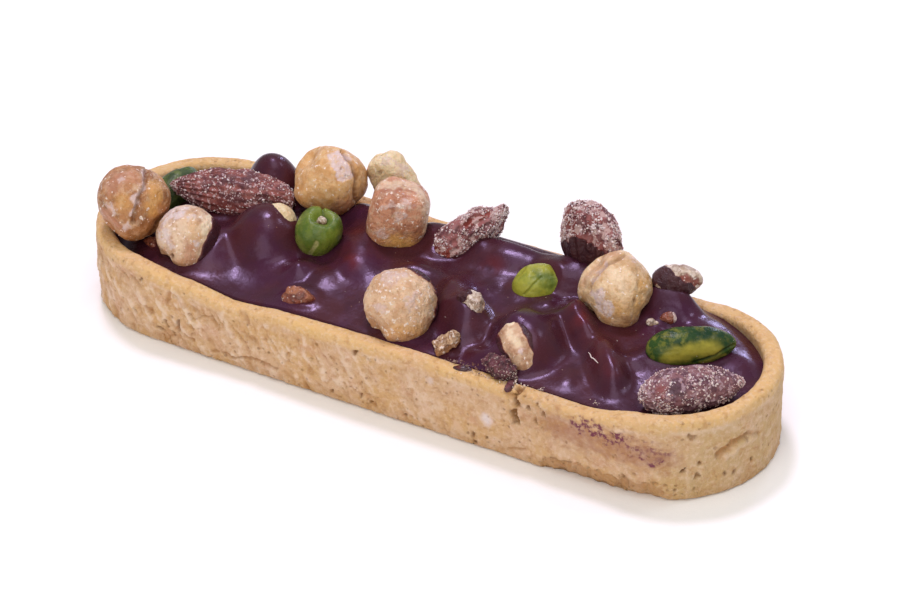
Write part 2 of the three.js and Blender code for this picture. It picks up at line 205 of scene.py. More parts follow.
@dataclass
class Shape:
    """A closed surface in millimetres, with the masks painted on its points."""

    points: Array
    quads: Array
    triangles: Array
    masks: dict[str, Array] = field(default_factory=dict)

    @staticmethod
    def _between(lower: Array, upper: Array) -> Array:
        """Quads between two loops of point numbers, wound to face out when upper lies above."""
        ahead = np.roll(lower, -1, axis=-1), np.roll(upper, -1, axis=-1)
        return np.stack([lower, ahead[0], ahead[1], upper], axis=-1).reshape(-1, 4)

    @classmethod
    def tube(cls, rings: Array, masks: dict[str, Array] | None = None) -> "Shape":
        """Closes rings of points into one body.

        Args:
            rings: Points by ring and by place round it; the rings run from one end to the other.
            masks: Values by ring and place.

        Returns:
            The body: each ring joined to the next, with a point in the middle of the end rings.
        """
        rows, cols, _ = rings.shape
        number = np.arange(rows * cols).reshape(rows, cols)
        quads = cls._between(number[:-1], number[1:])
        first, last = rows * cols, rows * cols + 1
        start, end = number[0], number[-1]
        triangles = np.concatenate(
            [
                np.stack([np.roll(start, -1), start, np.full(cols, first)], axis=-1),
                np.stack([end, np.roll(end, -1), np.full(cols, last)], axis=-1),
            ]
        )
        ends = np.stack([rings[0].mean(0), rings[-1].mean(0)])
        painted = {
            name: np.concatenate([mask.ravel(), [mask[0].mean(), mask[-1].mean()]])
            for name, mask in (masks or {}).items()
        }
        return cls(np.concatenate([rings.reshape(-1, 3), ends]), quads, triangles, painted)

    @classmethod
    def lid(cls, top: Array, skirt: Array, masks: dict[str, Array]) -> "Shape":
        """Closes a sheet of points with a skirt.

        Args:
            top: Points by row and column, seen from above with x along the columns.
            skirt: For each ring below the edge, how far it is drawn in and its height.
            masks: Values by row and column.

        Returns:
            The body: the sheet, the rings under its edge and a point in the middle below.
        """
        rows, cols, _ = top.shape
        number = np.arange(rows * cols).reshape(rows, cols)
        corners = [number[:-1, :-1], number[:-1, 1:], number[1:, 1:], number[1:, :-1]]
        quads = [np.stack(corners, axis=-1).reshape(-1, 4)]
        loop = np.concatenate([number[0, :-1], number[:-1, -1], number[-1, :0:-1], number[:0:-1, 0]])
        points = [top.reshape(-1, 3)]
        edge = top.reshape(-1, 3)[loop]
        outward = unit(edge[:, :2] * [0.2, 1.0])
        upper, count = loop, rows * cols
        for drawn_in, height in skirt:
            ring = np.column_stack([edge[:, :2] - outward * drawn_in, np.full(len(loop), height)])
            lower = np.arange(count, count + len(loop))
            quads.append(cls._between(lower, upper))
            points.append(ring)
            upper, count = lower, count + len(loop)
        points.append(points[-1].mean(0, keepdims=True))
        fan = np.stack([np.roll(upper, -1), upper, np.full(len(loop), count)], axis=-1)
        extra = (len(skirt) * len(loop)) + 1
        painted = {k: np.concatenate([v.ravel(), np.zeros(extra)]) for k, v in masks.items()}
        return cls(np.concatenate(points), np.concatenate(quads), fan, painted)

    @classmethod
    def joined(cls, shapes: Sequence["Shape"]) -> "Shape":
        """Several bodies as one piece."""
        offsets = np.cumsum([0] + [len(s.points) for s in shapes[:-1]])
        names = sorted({name for s in shapes for name in s.masks})
        return cls(
            np.concatenate([s.points for s in shapes]),
            np.concatenate([s.quads + o for s, o in zip(shapes, offsets)]),
            np.concatenate([s.triangles + o for s, o in zip(shapes, offsets)]),
            {
                n: np.concatenate([s.masks.get(n, np.zeros(len(s.points))) for s in shapes])
                for n in names
            },
        )

    @classmethod
    def grains(cls, places: Array, normals: Array, halves: Array, rng: np.random.Generator) -> "Shape":
        """Many small eight-sided grains.

        Args:
            places: The grains' middles.
            normals: The direction of each grain's third half size.
            halves: Half sizes of each grain.
            rng: Draws how skewed each grain is.

        Returns:
            All grains as one body, six points each.
        """
        corners = np.array([[1, 0, 0], [0, 1, 0], [-1, 0, 0], [0, -1, 0], [0, 0, 1], [0, 0, -1]], float)
        faces = np.array(
            [[0, 1, 4], [1, 2, 4], [2, 3, 4], [3, 0, 4], [1, 0, 5], [2, 1, 5], [3, 2, 5], [0, 3, 5]]
        )
        tangent = unit(np.cross(normals, rng.normal(size=places.shape)))
        frames = np.stack([tangent, np.cross(normals, tangent), normals], axis=1)
        skewed = corners * rng.uniform(0.6, 1.0, (len(places), 6, 1)) * halves[:, None, :]
        points = places[:, None, :] + skewed @ frames
        numbers = faces[None] + 6 * np.arange(len(places))[:, None, None]
        return cls(points.reshape(-1, 3), np.zeros((0, 4), int), numbers.reshape(-1, 3))

    @classmethod
    def strand(cls, path: Array, radius: float) -> "Shape":
        """A thin closed tube along a path, tapered to its ends."""
        along = unit(np.gradient(path, axis=0))
        side = unit(np.cross(along, [0.3, 0.4, 0.86]))
        turn = np.linspace(0, 2 * np.pi, 8, endpoint=False)[None, :, None]
        ring = np.cos(turn) * side[:, None] + np.sin(turn) * np.cross(along, side)[:, None]
        taper = np.sin(np.linspace(0.2, np.pi - 0.2, len(path))) ** 0.4
        return cls.tube(path[:, None] + ring * radius * taper[:, None, None])

    def mesh(self, name: str, smooth: bool = True) -> bpy.types.Mesh:
        """Writes the surface into a mesh, in metres, with a float attribute per mask."""
        mesh = bpy.data.meshes.new(name)
        mesh.vertices.add(len(self.points))
        mesh.vertices.foreach_set("co", (self.points * MM).ravel())
        corners = np.concatenate([self.quads.ravel(), self.triangles.ravel()])
        sizes = np.concatenate([np.full(len(self.quads), 4), np.full(len(self.triangles), 3)])
        mesh.loops.add(len(corners))
        mesh.loops.foreach_set("vertex_index", corners)
        mesh.polygons.add(len(sizes))
        mesh.polygons.foreach_set("loop_start", np.concatenate([[0], np.cumsum(sizes)[:-1]]))
        mesh.polygons.foreach_set("use_smooth", np.full(len(sizes), smooth))
        mesh.update(calc_edges=True)
        for mask, values in self.masks.items():
            layer = mesh.attributes.new(mask, "FLOAT", "POINT")
            layer.data.foreach_set("value", np.clip(values, 0, 1).astype(np.float32))
        return mesh


# ---- shader nodes --------------------------------------------------------------------------------


class Bench:
    """Adds nodes to one shader tree and joins them."""

    def __init__(self, tree: bpy.types.NodeTree) -> None:
        """Works on the given tree."""
        self.tree = tree

    def feed(self, socket: Socket, value: Feed) -> None:
        """Joins a socket to another, or sets its value; a colour may leave out its alpha."""
        if isinstance(value, Socket):
            self.tree.links.new(value, socket)
        elif socket.type == "RGBA":
            socket.default_value = (*value[:3], 1.0)
        else:
            socket.default_value = value

    def add(self, kind: str, inputs: dict | None = None, **settings: object) -> bpy.types.Node:
        """Adds a node.

        Args:
            kind: The node's type, without the part that all shader nodes share.
            inputs: What its inputs hold or are joined to, by name or number.
            settings: The node's own settings.

        Returns:
            The new node.
        """
        node = self.tree.nodes.new("ShaderNode" + kind)
        for name, value in settings.items():
            setattr(node, name, value)
        for name, value in (inputs or {}).items():
            self.feed(node.inputs[name], value)
        return node

    def math(self, operation: str, first: Feed, second: Feed = 0.0) -> Socket:
        """A sum, product or other operation of two numbers."""
        return self.add("Math", {0: first, 1: second}, operation=operation).outputs[0]

    def fit(self, value: Feed, low: float, high: float, start: float = 0, end: float = 1) -> Socket:
        """Maps low to start and high to end, smoothly, and holds the ends."""
        if low > high:
            low, high, start, end = high, low, end, start
        inputs = {"Value": value, "From Min": low, "From Max": high, "To Min": start, "To Max": end}
        node = self.add("MapRange", inputs, interpolation_type="SMOOTHSTEP")
        return node.outputs["Result"]

    def blend(self, share: Feed, first: Feed, second: Feed) -> Socket:
        """The first colour turning into the second as the share goes from 0 to 1."""
        inputs = {0: share, 6: first, 7: second}
        return self.add("Mix", inputs, data_type="RGBA", clamp_factor=True).outputs[2]

    def painted(self, mask: str) -> Socket:
        """A mask that the mesh carries."""
        return self.add("Attribute", attribute_name=mask).outputs["Fac"]

    def effect(self, group: "Effect", **inputs: Feed) -> Socket:
        """Places a shared effect with its own values and gives its mask."""
        node = self.add("Group", node_tree=group.tree())
        for name, value in inputs.items():
            self.feed(node.inputs[name.capitalize()], value)
        return node.outputs["Mask"]

    def clouds(self, size: float, low: float, high: float) -> Socket:
        """Cloudy patches of a size in millimetres, from 0 at the low level to 1 at the high one."""
        return self.effect(MOTTLE, size=size, low=low, high=high)

    def layered(self, base: Feed, layers: Sequence[tuple[Socket, float, Feed]]) -> Feed:
        """Lays colours over a base, one after the other.

        Args:
            base: The colour below them all.
            layers: For each layer its mask, its strength and its colour.

        Returns:
            The colour on top.
        """
        for mask, strength, colour in layers:
            share = mask if strength == 1.0 else self.math("MULTIPLY", mask, strength)
            base = self.blend(share, base, colour)
        return base


@dataclass(frozen=True)
class Effect:
    """A shader node group that works out one mask from the place on the piece.

    Sizes are in millimetres. `inputs` are its values with their defaults, and `work` makes the mask
    from the bench, the object coordinates and the group's inputs.
    """

    name: str
    inputs: tuple[tuple[str, float], ...]
    work: Callable[[Bench, Socket, dict[str, Socket]], Socket]

    def tree(self) -> bpy.types.NodeTree:
        """The group, built the first time that it is asked for."""
        known = bpy.data.node_groups.get(self.name)
        if known:
            return known
        tree = bpy.data.node_groups.new(self.name, "ShaderNodeTree")
        for name, value in self.inputs:
            socket = tree.interface.new_socket(name, in_out="INPUT", socket_type="NodeSocketFloat")
            socket.default_value = value
        tree.interface.new_socket("Mask", in_out="OUTPUT", socket_type="NodeSocketFloat")
        bench = Bench(tree)
        entry, leave = tree.nodes.new("NodeGroupInput"), tree.nodes.new("NodeGroupOutput")
        place = bench.add("TexCoord").outputs["Object"]
        given = {name: entry.outputs[name] for name, _ in self.inputs}
        bench.feed(leave.inputs["Mask"], self.work(bench, place, given))
        return tree


def _per_metre(bench: Bench, size: Socket) -> Socket:
    """A texture's scale from the size of its bumps in millimetres."""
    return bench.math("DIVIDE", 1 / MM, size)


def _mottle(bench: Bench, place: Socket, given: dict[str, Socket]) -> Socket:
    """Cloudy patches: noise, cut between two levels."""
    inputs = {"Vector": place, "Scale": _per_metre(bench, given["Size"]), "Detail": 4.0}
    cloud = bench.add("TexNoise", {**inputs, "Roughness": 0.6}).outputs["Fac"]
    levels = {"Value": cloud, "From Min": given["Low"], "From Max": given["High"]}
    return bench.add("MapRange", levels, interpolation_type="SMOOTHSTEP").outputs["Result"]


def _pores(bench: Bench, place: Socket, given: dict[str, Socket]) -> Socket:
    """Small round spots, dark in their middles, in some of the cells of a cell pattern."""
    scale = _per_metre(bench, given["Size"])
    wobble = bench.add("TexNoise", {"Vector": place, "Scale": scale, "Detail": 2.0}).outputs["Color"]
    shift = bench.add("VectorMath", {0: wobble, 1: (0.0006,) * 3}, operation="MULTIPLY").outputs[0]
    moved = bench.add("VectorMath", {0: place, 1: shift}, operation="ADD").outputs[0]
    cells = bench.add("TexVoronoi", {"Vector": moved, "Scale": scale})
    spot = bench.fit(cells.outputs["Distance"], 0.36, 0.12)
    draw = bench.add("SeparateColor", {0: cells.outputs["Color"]}).outputs[0]
    return bench.math("MULTIPLY", spot, bench.math("LESS_THAN", draw, given["Share"]))


MOTTLE = Effect("mottle", (("Size", 4.0), ("Low", 0.4), ("High", 0.6)), _mottle)
PORES = Effect("pores", (("Size", 1.5), ("Share", 0.4)), _pores)


@dataclass(frozen=True)
class Finish:
    """A surface finish: a material with its own Principled shader."""

    name: str
    roughness: float = 0.6
    bump_mm: float = 0.1
    scatter: float = 0.0  # how much light passes under the surface
    scatter_mm: float = 1.5
    specular: float = 0.4
    shine: tuple = (1.0, 1.0, 1.0, 1.0)
    coat: float = 0.0
    coat_roughness: float = 0.15

    def colour(self, bench: Bench) -> Feed:
        """The colour over the surface."""
        raise NotImplementedError

    def relief(self, bench: Bench) -> Socket:
        """The fine height over the surface, from 0 to 1."""
        return bench.clouds(0.8, 0.3, 0.7)

    def gloss(self, bench: Bench) -> Feed:
        """The roughness over the surface."""
        patch = bench.clouds(2.5, 0.35, 0.65)
        return bench.fit(patch, 0, 1, self.roughness * 0.85, min(1.0, self.roughness * 1.15))

    def material(self) -> bpy.types.Material:
        """The material, built the first time that it is asked for."""
        known = bpy.data.materials.get(self.name)
        if known:
            return known
        material = bpy.data.materials.new(self.name)
        material.use_nodes = True
        tree = material.node_tree
        tree.nodes.clear()
        bench = Bench(tree)
        inputs = {"Height": self.relief(bench), "Distance": self.bump_mm * MM, "Strength": 1.0}
        shader = bench.add(
            "BsdfPrincipled",
            {
                "Base Color": self.colour(bench),
                "Roughness": self.gloss(bench),
                "Normal": bench.add("Bump", inputs).outputs["Normal"],
                "Specular IOR Level": self.specular,
                "Specular Tint": self.shine,
                "Subsurface Weight": self.scatter,
                "Subsurface Radius": (1.0, 0.5, 0.25),
                "Subsurface Scale": self.scatter_mm * MM,
                "Coat Weight": self.coat,
                "Coat Roughness": self.coat_roughness,
            },
        )
        bench.add("OutputMaterial", {"Surface": shader.outputs[0]})
        return material


def serve(
    shape: Shape,
    name: str,
    finish: Finish,
    nodes: Iterable[str] = (),
    smooth: bool = True,
) -> bpy.types.Object:
    """Makes a piece of the tartlet, rides it on the body and hides the solids that it replaces.

    Args:
        shape: Its surface.
        name: Its name.
        finish: Its material.
        nodes: The solids that it replaces.
        smooth: Whether its faces are shaded as one smooth surface.

    Returns:
        The piece.
    """
    piece = bpy.data.objects.new(name, shape.mesh(name, smooth))
    piece.data.materials.append(finish.material())
    bpy.context.scene.collection.objects.link(piece)
    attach(piece, BODY)
    for node in nodes:
        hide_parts(node)
    LOG.info("%s: %d faces", name, len(shape.quads) + len(shape.triangles))
    return piece


# ---- pastry case ---------------------------------------------------------------------------------


@dataclass(frozen=True)
class ShortcrustFinish(Finish):
    """Baked shortcrust: sandy, mottled gold and rose, with flakes, crevices, pores and smears, and painted
    shade in its crevices, pits and pores.
    """

    sand: tuple = ink(208, 172, 136)
    gold: tuple = ink(206, 164, 108)
    rose: tuple = ink(202, 156, 128)
    edge: tuple = ink(224, 184, 122)
    # browned crust in clouds, and painted shade in the creases, folds and seams under the brown mask
    toast_and_shade: tuple = ink(174, 124, 74)
    flake: tuple = ink(232, 208, 184)
    # painted shade inside the pits, pores and cracks
    hole: tuple = ink(128, 84, 40)
    smear: tuple = ink(116, 58, 74)
    # darker, yellower tint towards the round end: the crust's own tone there, with painted shade where the
    # wall turns away
    khaki: tuple = ink(190, 162, 112)
    blush: tuple = ink(152, 98, 76)
    # whitish spots on the wall
    flour: tuple = ink(228, 214, 212)

    def colour(self, bench: Bench) -> Feed:
        """Sand clouded with gold and rose, then grain, flakes, crevices, smears and holes, with painted shade
        in the crevices, holes and pores.
        """
        layers = (
            (bench.clouds(6.5, 0.4, 0.62), 0.75, self.gold),
            (bench.clouds(4.2, 0.5, 0.68), 0.5, self.rose),
            (bench.painted("khaki"), 1.0, self.khaki),
            (bench.painted("rim"), 0.85, self.edge),
            (bench.clouds(1.5, 0.5, 0.68), 0.45, self.toast_and_shade),
            (bench.clouds(0.8, 0.48, 0.62), 0.28, self.flake),
            (bench.painted("pale"), 1.0, self.flake),
            # brown mask: darker foot and broken edge, and painted shade in the creases and sunk folds
            (bench.painted("brown"), 1.0, self.toast_and_shade),
            (bench.painted("blush"), 0.72, self.blush),
            (self.stain(bench), 1.0, self.smear),
            (bench.painted("flour"), 0.9, self.flour),
            # the pores sunk by the relief get painted shade, then so do the painted pits and cracks
            (bench.effect(PORES, size=1.1, share=0.16), 0.45, self.hole),
            (bench.painted("hole"), 1.0, self.hole),
        )
        return bench.layered(self.sand, layers)

    def stain(self, bench: Bench) -> Socket:
        """The painted smears, broken up by clouds and specks."""
        speck = bench.fit(bench.clouds(0.7, 0.36, 0.6), 0, 1, 0.3, 1.0)
        smear = bench.math("MULTIPLY", bench.painted("smear"), bench.clouds(1.9, 0.32, 0.62))
        return bench.fit(bench.math("MULTIPLY", smear, speck), 0.04, 0.7)

    def relief(self, bench: Bench) -> Socket:
        """Sandy grain with pores sunk into it."""
        grain = bench.clouds(0.5, 0.25, 0.75)
        coarse = bench.clouds(1.3, 0.3, 0.7)
        sunk = bench.effect(PORES, size=1.1, share=0.16)
        total = bench.math("ADD", bench.math("MULTIPLY", grain, 0.5), bench.math("MULTIPLY", coarse, 0.6))
        return bench.math("SUBTRACT", total, bench.math("MULTIPLY", sunk, 0.8))


NEAR_Y = -21.0  # the near side of the wall


@dataclass(frozen=True)
class CrustMark:
    """A crack, dent, flake or stain on the crust, along a line in space.

    `wide` is its reach, `sink` how far the crust goes in there (out where it is negative), and
    `ragged` how uneven its edge is. It fades from the middle at crisp 0 and ends sharply at 1.
    """

    mask: str
    path: tuple[tuple[float, float, float], ...]
    wide: float
    sink: float = 0.0
    strength: float = 1.0
    ragged: float = 0.5
    crisp: float = 0.3

    def field(self, points: Array, wobble: Array) -> Array:
        """1 on the line, falling to 0 at the reach, with the wobble moving the edge."""
        moved = points + wobble * self.ragged * min(self.wide, 2.0)
        line = np.array(self.path, float)
        if len(line) == 1:
            gap = np.linalg.norm(moved - line[0], axis=-1)
        else:
            gap = distance_to_path(moved, line)
        return smoothstep(1.0, min(0.95, self.crisp), gap / self.wide)


def wall_mark(
    mask: str,
    wide: float,
    sink: float,
    strength: float,
    *spots: tuple[float, float],
    ragged: float = 0.5,
    crisp: float = 0.3,
) -> CrustMark:
    """A mark on the near side of the wall, from the x and z of its places."""
    path = tuple((x, NEAR_Y, z) for x, z in spots)
    return CrustMark(mask, path, wide, sink, strength, ragged, crisp)


def _pits() -> tuple[CrustMark, ...]:
    """The single pits that show on the near side and the round end: place and reach."""
    flat = (
        *((-57.1, 11.1, 0.45), (-52.3, 13.5, 0.5), (-54.1, 5.4, 0.5), (-45.6, 3.5, 0.5)),
        *((-16.6, 11.3, 0.45), (-23.5, 6.2, 0.45), (-9.2, 2.2, 0.5), (-3.6, 12.9, 0.4)),
        *((-0.8, 2.6, 0.45), (-2.5, 3.2, 0.4), (21.7, 2.7, 0.5), (24.7, 2.8, 0.45)),
        *((22.1, 0.9, 0.45), (35.5, 14.2, 0.6), (34.1, 14.9, 0.45), (36.5, 12.5, 0.5)),
        *((35.1, 10.4, 0.55), (32.9, 15.6, 0.5), (6.9, 2.0, 0.4), (33.6, 12.6, 0.45)),
    )
    round_end = (
        *(((63.8, -17.0, 6.7), 0.6), ((66.0, -15.2, 8.3), 0.5), ((71.7, -5.9, 5.4), 0.55)),
        *(((61.0, -18.7, 3.5), 0.4), ((62.4, -18.0, 2.6), 0.45), ((65.2, -15.9, 2.8), 0.4)),
        *(((65.6, -15.5, 5.4), 0.4), ((69.4, -11.0, 4.2), 0.5), ((70.3, -9.3, 3.7), 0.5)),
    )
    spots = [((x, NEAR_Y, z), reach) for x, z, reach in flat] + list(round_end)
    # each pit sinks in and is filled with painted shade
    return tuple(CrustMark("hole", (spot,), 1.3 * reach, 0.7, 0.95, 0.9, 0.3) for spot, reach in spots)


# brown marks are sunk crevices, folds and seams, and hole marks are sunk pits and cracks, each with painted
# shade in it
CRUST_MARKS = (
    *_pits(),
    CrustMark(
        "hole",
        (
            *((30.5, -17.4, 15.6), (31.0, -19.3, 15.5), (30.7, -21.0, 14.6)),
            *((31.3, -21.0, 12.7), (30.5, -21.0, 11.0), (30.9, -21.0, 8.8)),
        ),
        *(0.8, 1.0, 0.95, 0.9, 0.35),
    ),
    wall_mark("brown", 0.9, 0.45, 0.7, (29.1, 15.0), (30.0, 14.2)),
    wall_mark(
        *("brown", 1.9, 0.25, 0.3),
        *((31.4, 15.4), (35.3, 13.6), (36.0, 11.6), (34.0, 9.8)),
        ragged=0.9, crisp=0.6,
    ),
    wall_mark("pale", 0.8, -0.2, 0.5, (33.4, 15.6), (36.6, 14.0), (37.4, 12.0), ragged=1.0),
    wall_mark("flour", 2.0, -0.1, 0.9, (24.9, 7.1), ragged=0.25, crisp=0.2),
    wall_mark("flour", 1.3, -0.05, 0.6, (12.7, 11.6), ragged=0.3, crisp=0.1),
    wall_mark("smear", 3.0, 0.05, 1.0, (44.6, 12.8), (49.0, 12.4), (52.6, 12.8), ragged=0.8, crisp=0.0),
    CrustMark("smear", ((53.0, -20.9, 11.6), (61.0, -18.7, 11.0)), 3.2, 0.05, 0.6, 0.9, 0.0),
    CrustMark("smear", ((57.6, -20.1, 9.6), (60.2, -19.1, 8.2)), 1.5, 0.05, 0.8, 0.8, 0.1),
    wall_mark("smear", 0.9, 0.1, 0.7, (43.1, 14.2), ragged=0.6, crisp=0.2),
    CrustMark(
        "blush", ((39.0, -21.0, 11.0), (50.0, -21.0, 10.4), (60.0, -19.2, 9.4)), 5.0, 0.0, 0.9, 0.8, 0.0
    ),
    wall_mark(
        *("brown", 2.1, 0.9, 0.55),
        *((38.0, 1.0), (42.0, 1.4), (47.0, 2.0), (52.6, 2.2)),
        ragged=0.45, crisp=0.8,
    ),
    CrustMark("brown", ((52.6, -21.0, 2.2), (58.6, -19.9, 1.8)), 2.1, 0.8, 0.5, 0.45, 0.8),
    wall_mark("hole", 0.5, 0.4, 0.6, (38.2, 3.2), (40.7, 3.2), (42.4, 3.9)),
    wall_mark("brown", 0.35, 0.35, 0.7, (29.0, 2.0), (32.8, 3.2), ragged=0.4),
    wall_mark("pale", 0.8, -0.5, 0.75, (-44.5, 13.8), (-42.3, 10.6), (-40.2, 7.3)),
    wall_mark("pale", 0.7, -0.3, 0.6, (-33.5, 12.0), (-31.6, 7.4), ragged=0.6),
    wall_mark("pale", 0.9, -0.35, 0.6, (-53.0, 10.4), (-50.6, 6.4), ragged=0.6),
    wall_mark("pale", 0.8, -0.2, 0.5, (-7.3, 13.2), (-4.6, 6.6), ragged=0.6, crisp=0.2),
    wall_mark("brown", 0.6, 0.5, 0.6, (-46.2, 10.3), (-45.4, 12.6)),
    wall_mark("hole", 0.5, 0.6, 0.7, (-49.1, 3.5), (-47.9, 3.2)),
    wall_mark("hole", 0.5, 0.6, 0.8, (-47.0, 5.8), (-46.5, 4.5)),
    wall_mark("hole", 0.6, 0.7, 0.8, (-43.8, 6.6), (-44.0, 4.7)),
    wall_mark("brown", 0.5, 0.5, 0.8, (-42.6, 3.9), (-40.6, 3.2)),
    wall_mark("brown", 0.5, 0.5, 0.8, (-51.4, 7.7), (-50.0, 6.6)),
    wall_mark("brown", 1.2, 0.5, 0.5, (-29.6, 14.0), (-27.7, 12.1), crisp=0.1),
    wall_mark("brown", 1.0, 0.5, 0.5, (-40.6, 11.0), (-38.4, 9.7), crisp=0.1),
    wall_mark("brown", 1.0, 0.45, 0.5, (-29.2, 8.7), (-26.7, 8.0), crisp=0.1),
    wall_mark("brown", 0.9, 0.4, 0.5, (-35.9, 9.9), (-34.8, 8.3), crisp=0.1),
    wall_mark("brown", 0.45, 0.5, 0.7, (-36.0, 2.2), (-30.9, 2.6), (-27.2, 3.5), (-21.3, 3.1), ragged=0.9),
    CrustMark("brown", ((68.6, -12.3, 9.0), (70.1, -9.7, 10.6), (71.6, -6.4, 11.2)), 1.1, 0.8, 0.7, 0.4),
    CrustMark("brown", ((71.6, -6.4, 11.2), (72.2, -3.6, 9.6)), 0.7, 0.4, 0.4, 0.4),
    CrustMark("pale", ((69.4, -11.2, 8.0), (70.8, -8.2, 9.2), (71.9, -4.8, 9.2)), 1.0, -0.35, 0.35, 0.5, 0.1),
    CrustMark("hole", ((64.4, -16.6, 14.5), (64.9, -16.2, 14.0), (65.4, -15.7, 14.2)), 0.6, 0.6, 0.6, 0.5),
)


@dataclass
class Outline:
    """The round-ended outline of the case, followed by arc length from its near right corner."""

    half_straight: float
    radius: float

    def stations(self, count: int) -> tuple[Array, Array, Array]:
        """Evenly spaced stations round the outline.

        Args:
            count: How many there are.

        Returns:
            For each, the point on the long axis and the two parts of the outward direction.
        """
        side, end = 2 * self.half_straight, np.pi * self.radius
        run = np.arange(count) / count * 2 * (side + end)
        legs = [run < end, run < end + side, run < 2 * end + side]
        angle = np.select(
            legs,
            [run / self.radius - np.pi / 2, np.pi / 2, (run - side) / self.radius - np.pi / 2],
            -np.pi / 2,
        )
        axis = np.select(
            legs,
            [self.half_straight, self.half_straight - (run - end), -self.half_straight],
            run - 2 * end - side - self.half_straight,
        )
        return axis, np.cos(angle), np.sin(angle)


@dataclass
class PastryCase:
    """The shortcrust case: base, wall and rim as one profile carried round the outline."""

    length: float = 145.0
    width: float = 42.0
    rim: float = 17.0
    wall: float = 3.5
    floor: float = 3.5
    rim_round: float = 1.1
    foot_round: float = 0.9
    near_drop: float = 1.7
    slump_x: float = -32.0
    slump_depth: float = 1.6
    chip_from: float = 36.0
    chip_to: float = 62.0
    chip_height: float = 3.0
    chip_depth: float = 2.6
    flake_slant: float = 60.0  # degrees that the flakes run down as x grows
    stations: int = 1190
    pit_count: int = 120

    @property
    def outline(self) -> Outline:
        """The outline of the outside of the wall."""
        return Outline(self.length / 2 - self.width / 2, self.width / 2)

    def rim_height(self, x: Array, ny: Array) -> Array:
        """Level at the ends and the far side, lower along the near side, with a slump in it."""
        near = smoothstep(0.2, 0.95, -ny) * smoothstep(56, 44, np.abs(x))
        slump = self.slump_depth * bell((x - self.slump_x) / 7)
        rise = 0.5 * smoothstep(0, 0.8, ny) * smoothstep(-20, -50, x)
        return self.rim + 0.005 * x + 0.2 * np.sin(x * 0.11) + rise - near * (self.near_drop + slump)

    def chip_share(self, x: Array, ny: Array) -> Array:
        """How much of the lower edge is broken away, from 0 to 1."""
        along = smoothstep(self.chip_from, self.chip_from + 5, x)
        along = along * smoothstep(self.chip_to, self.chip_to - 4, x)
        return along * smoothstep(0.6, 0.95, -ny) * (0.85 + 0.15 * np.sin(x * 2.1))

    def profile(self, rim: Array, chip: Array) -> tuple[Array, Array, Array]:
        """The profile at each station, from the middle of the underside to that of the floor.

        Args:
            rim: Height of the rim at each station.
            chip: Share of the lower edge that is missing there.

        Returns:
            Inset, height and outward slope of the surface, by row and station.
        """
        half = self.width / 2
        rows: list[tuple[Array, Array, Array]] = []
        one = np.ones_like(rim)
        for share in (0.0, 0.6, 0.92):
            rows.append((one * (half - 2 + (2.4 - half) * share), 0 * one, 0 * one))
        foot = self.foot_round + chip * self.chip_height
        cut = self.foot_round + chip * self.chip_depth
        for turn in np.radians([20, 40, 60, 80]):
            rows.append((cut * (1 - np.sin(turn)), foot * (1 - np.cos(turn)), np.sin(turn) * one))
        top = rim - self.rim_round
        for share in np.linspace(0, 1, 45):
            rows.append((0 * one, foot + (top - foot) * share, one))
        for turn in np.radians([25, 50, 75]):
            round_in, round_up = self.rim_round * (1 - np.cos(turn)), self.rim_round * np.sin(turn)
            rows.append((one * round_in, top + round_up, np.cos(turn) * one))
        flat = self.wall - 2 * self.rim_round
        for share in np.linspace(0, 1, 6):
            rows.append((one * (self.rim_round + flat * share), rim, 0 * one))
        for turn in np.radians([25, 50, 75]):
            inset = self.wall - self.rim_round * (1 - np.sin(turn))
            rows.append((one * inset, top + self.rim_round * np.cos(turn), -np.sin(turn) * one))
        for depth in (0.0, 0.6, 1.2, 2.0, 3.0, 4.4, 8.0):
            rows.append((one * self.wall, top - depth, -one))
        for inset in (self.wall + 1.0, half - 2):
            rows.append((one * inset, one * self.floor, 0 * one))
        return tuple(np.stack(part) for part in zip(*rows))

    def build(self) -> bpy.types.Object:
        """Makes the case with its relief and its painted masks."""
        axis, nx, ny = self.outline.stations(self.stations)
        reach_x = axis + nx * self.width / 2
        rim = self.rim_height(reach_x, ny)
        chip = self.chip_share(reach_x, ny)
        inset, z, slope = self.profile(rim, chip)
        reach = self.width / 2 - inset
        points = np.stack([axis + nx * reach, ny * reach + 0 * z, z], axis=-1)
        out = np.stack([nx + 0 * z, ny + 0 * z, 0 * z], axis=-1)
        lift = np.sqrt(np.clip(1 - slope**2, 0, 1))
        normal = out * slope[..., None] + np.array([0, 0, 1]) * lift[..., None]
        normal = np.where((z < 0.4)[..., None], out * slope[..., None], normal)
        height, masks = self.relief(points, z, rim, chip, slope)
        seen = smoothstep(self.floor + 1, self.floor + 3, z) + (inset < self.wall - 1)
        points = points + normal * (height * np.clip(seen, 0, 1))[..., None]
        ragged = smoothstep(0.1, 0.9, NOISE.rough(points, (2.4, 2.4, 9.0), 3)) * smoothstep(0.5, 0.9, slope)
        points[..., 2] += 0.55 * ragged * smoothstep(1.6, 0.1, z)
        points[..., 2] = np.maximum(points[..., 2], 0)
        return serve(
            Shape.tube(points, masks),
            "pastry_shell",
            ShortcrustFinish("shortcrust", roughness=0.74, bump_mm=0.17, scatter=0.1, specular=0.3),
            ["pastry_case"],
        )

    def flakes(self, points: Array) -> tuple[Array, Array]:
        """The layers that show slanting down the wall, and the creases between them.

        Args:
            points: Places on the wall.

        Returns:
            The layers' height, about -1 to 1, and the creases from 0 to 1.
        """
        x, y, z = points[..., 0], points[..., 1], points[..., 2]
        slant = np.radians(self.flake_slant)
        turned = np.stack(
            [x * np.cos(slant) - z * np.sin(slant), y, x * np.sin(slant) + z * np.cos(slant)], axis=-1
        )
        layer = NOISE.rough(turned, (4.6, 3.4, 1.9), 3)
        line = NOISE.rough(turned + 17, (5.0, 4.0, 2.6), 2)
        crease = bell(line / 0.075) * smoothstep(-0.05, 0.4, NOISE(points + 5, 5.5))
        return layer, crease

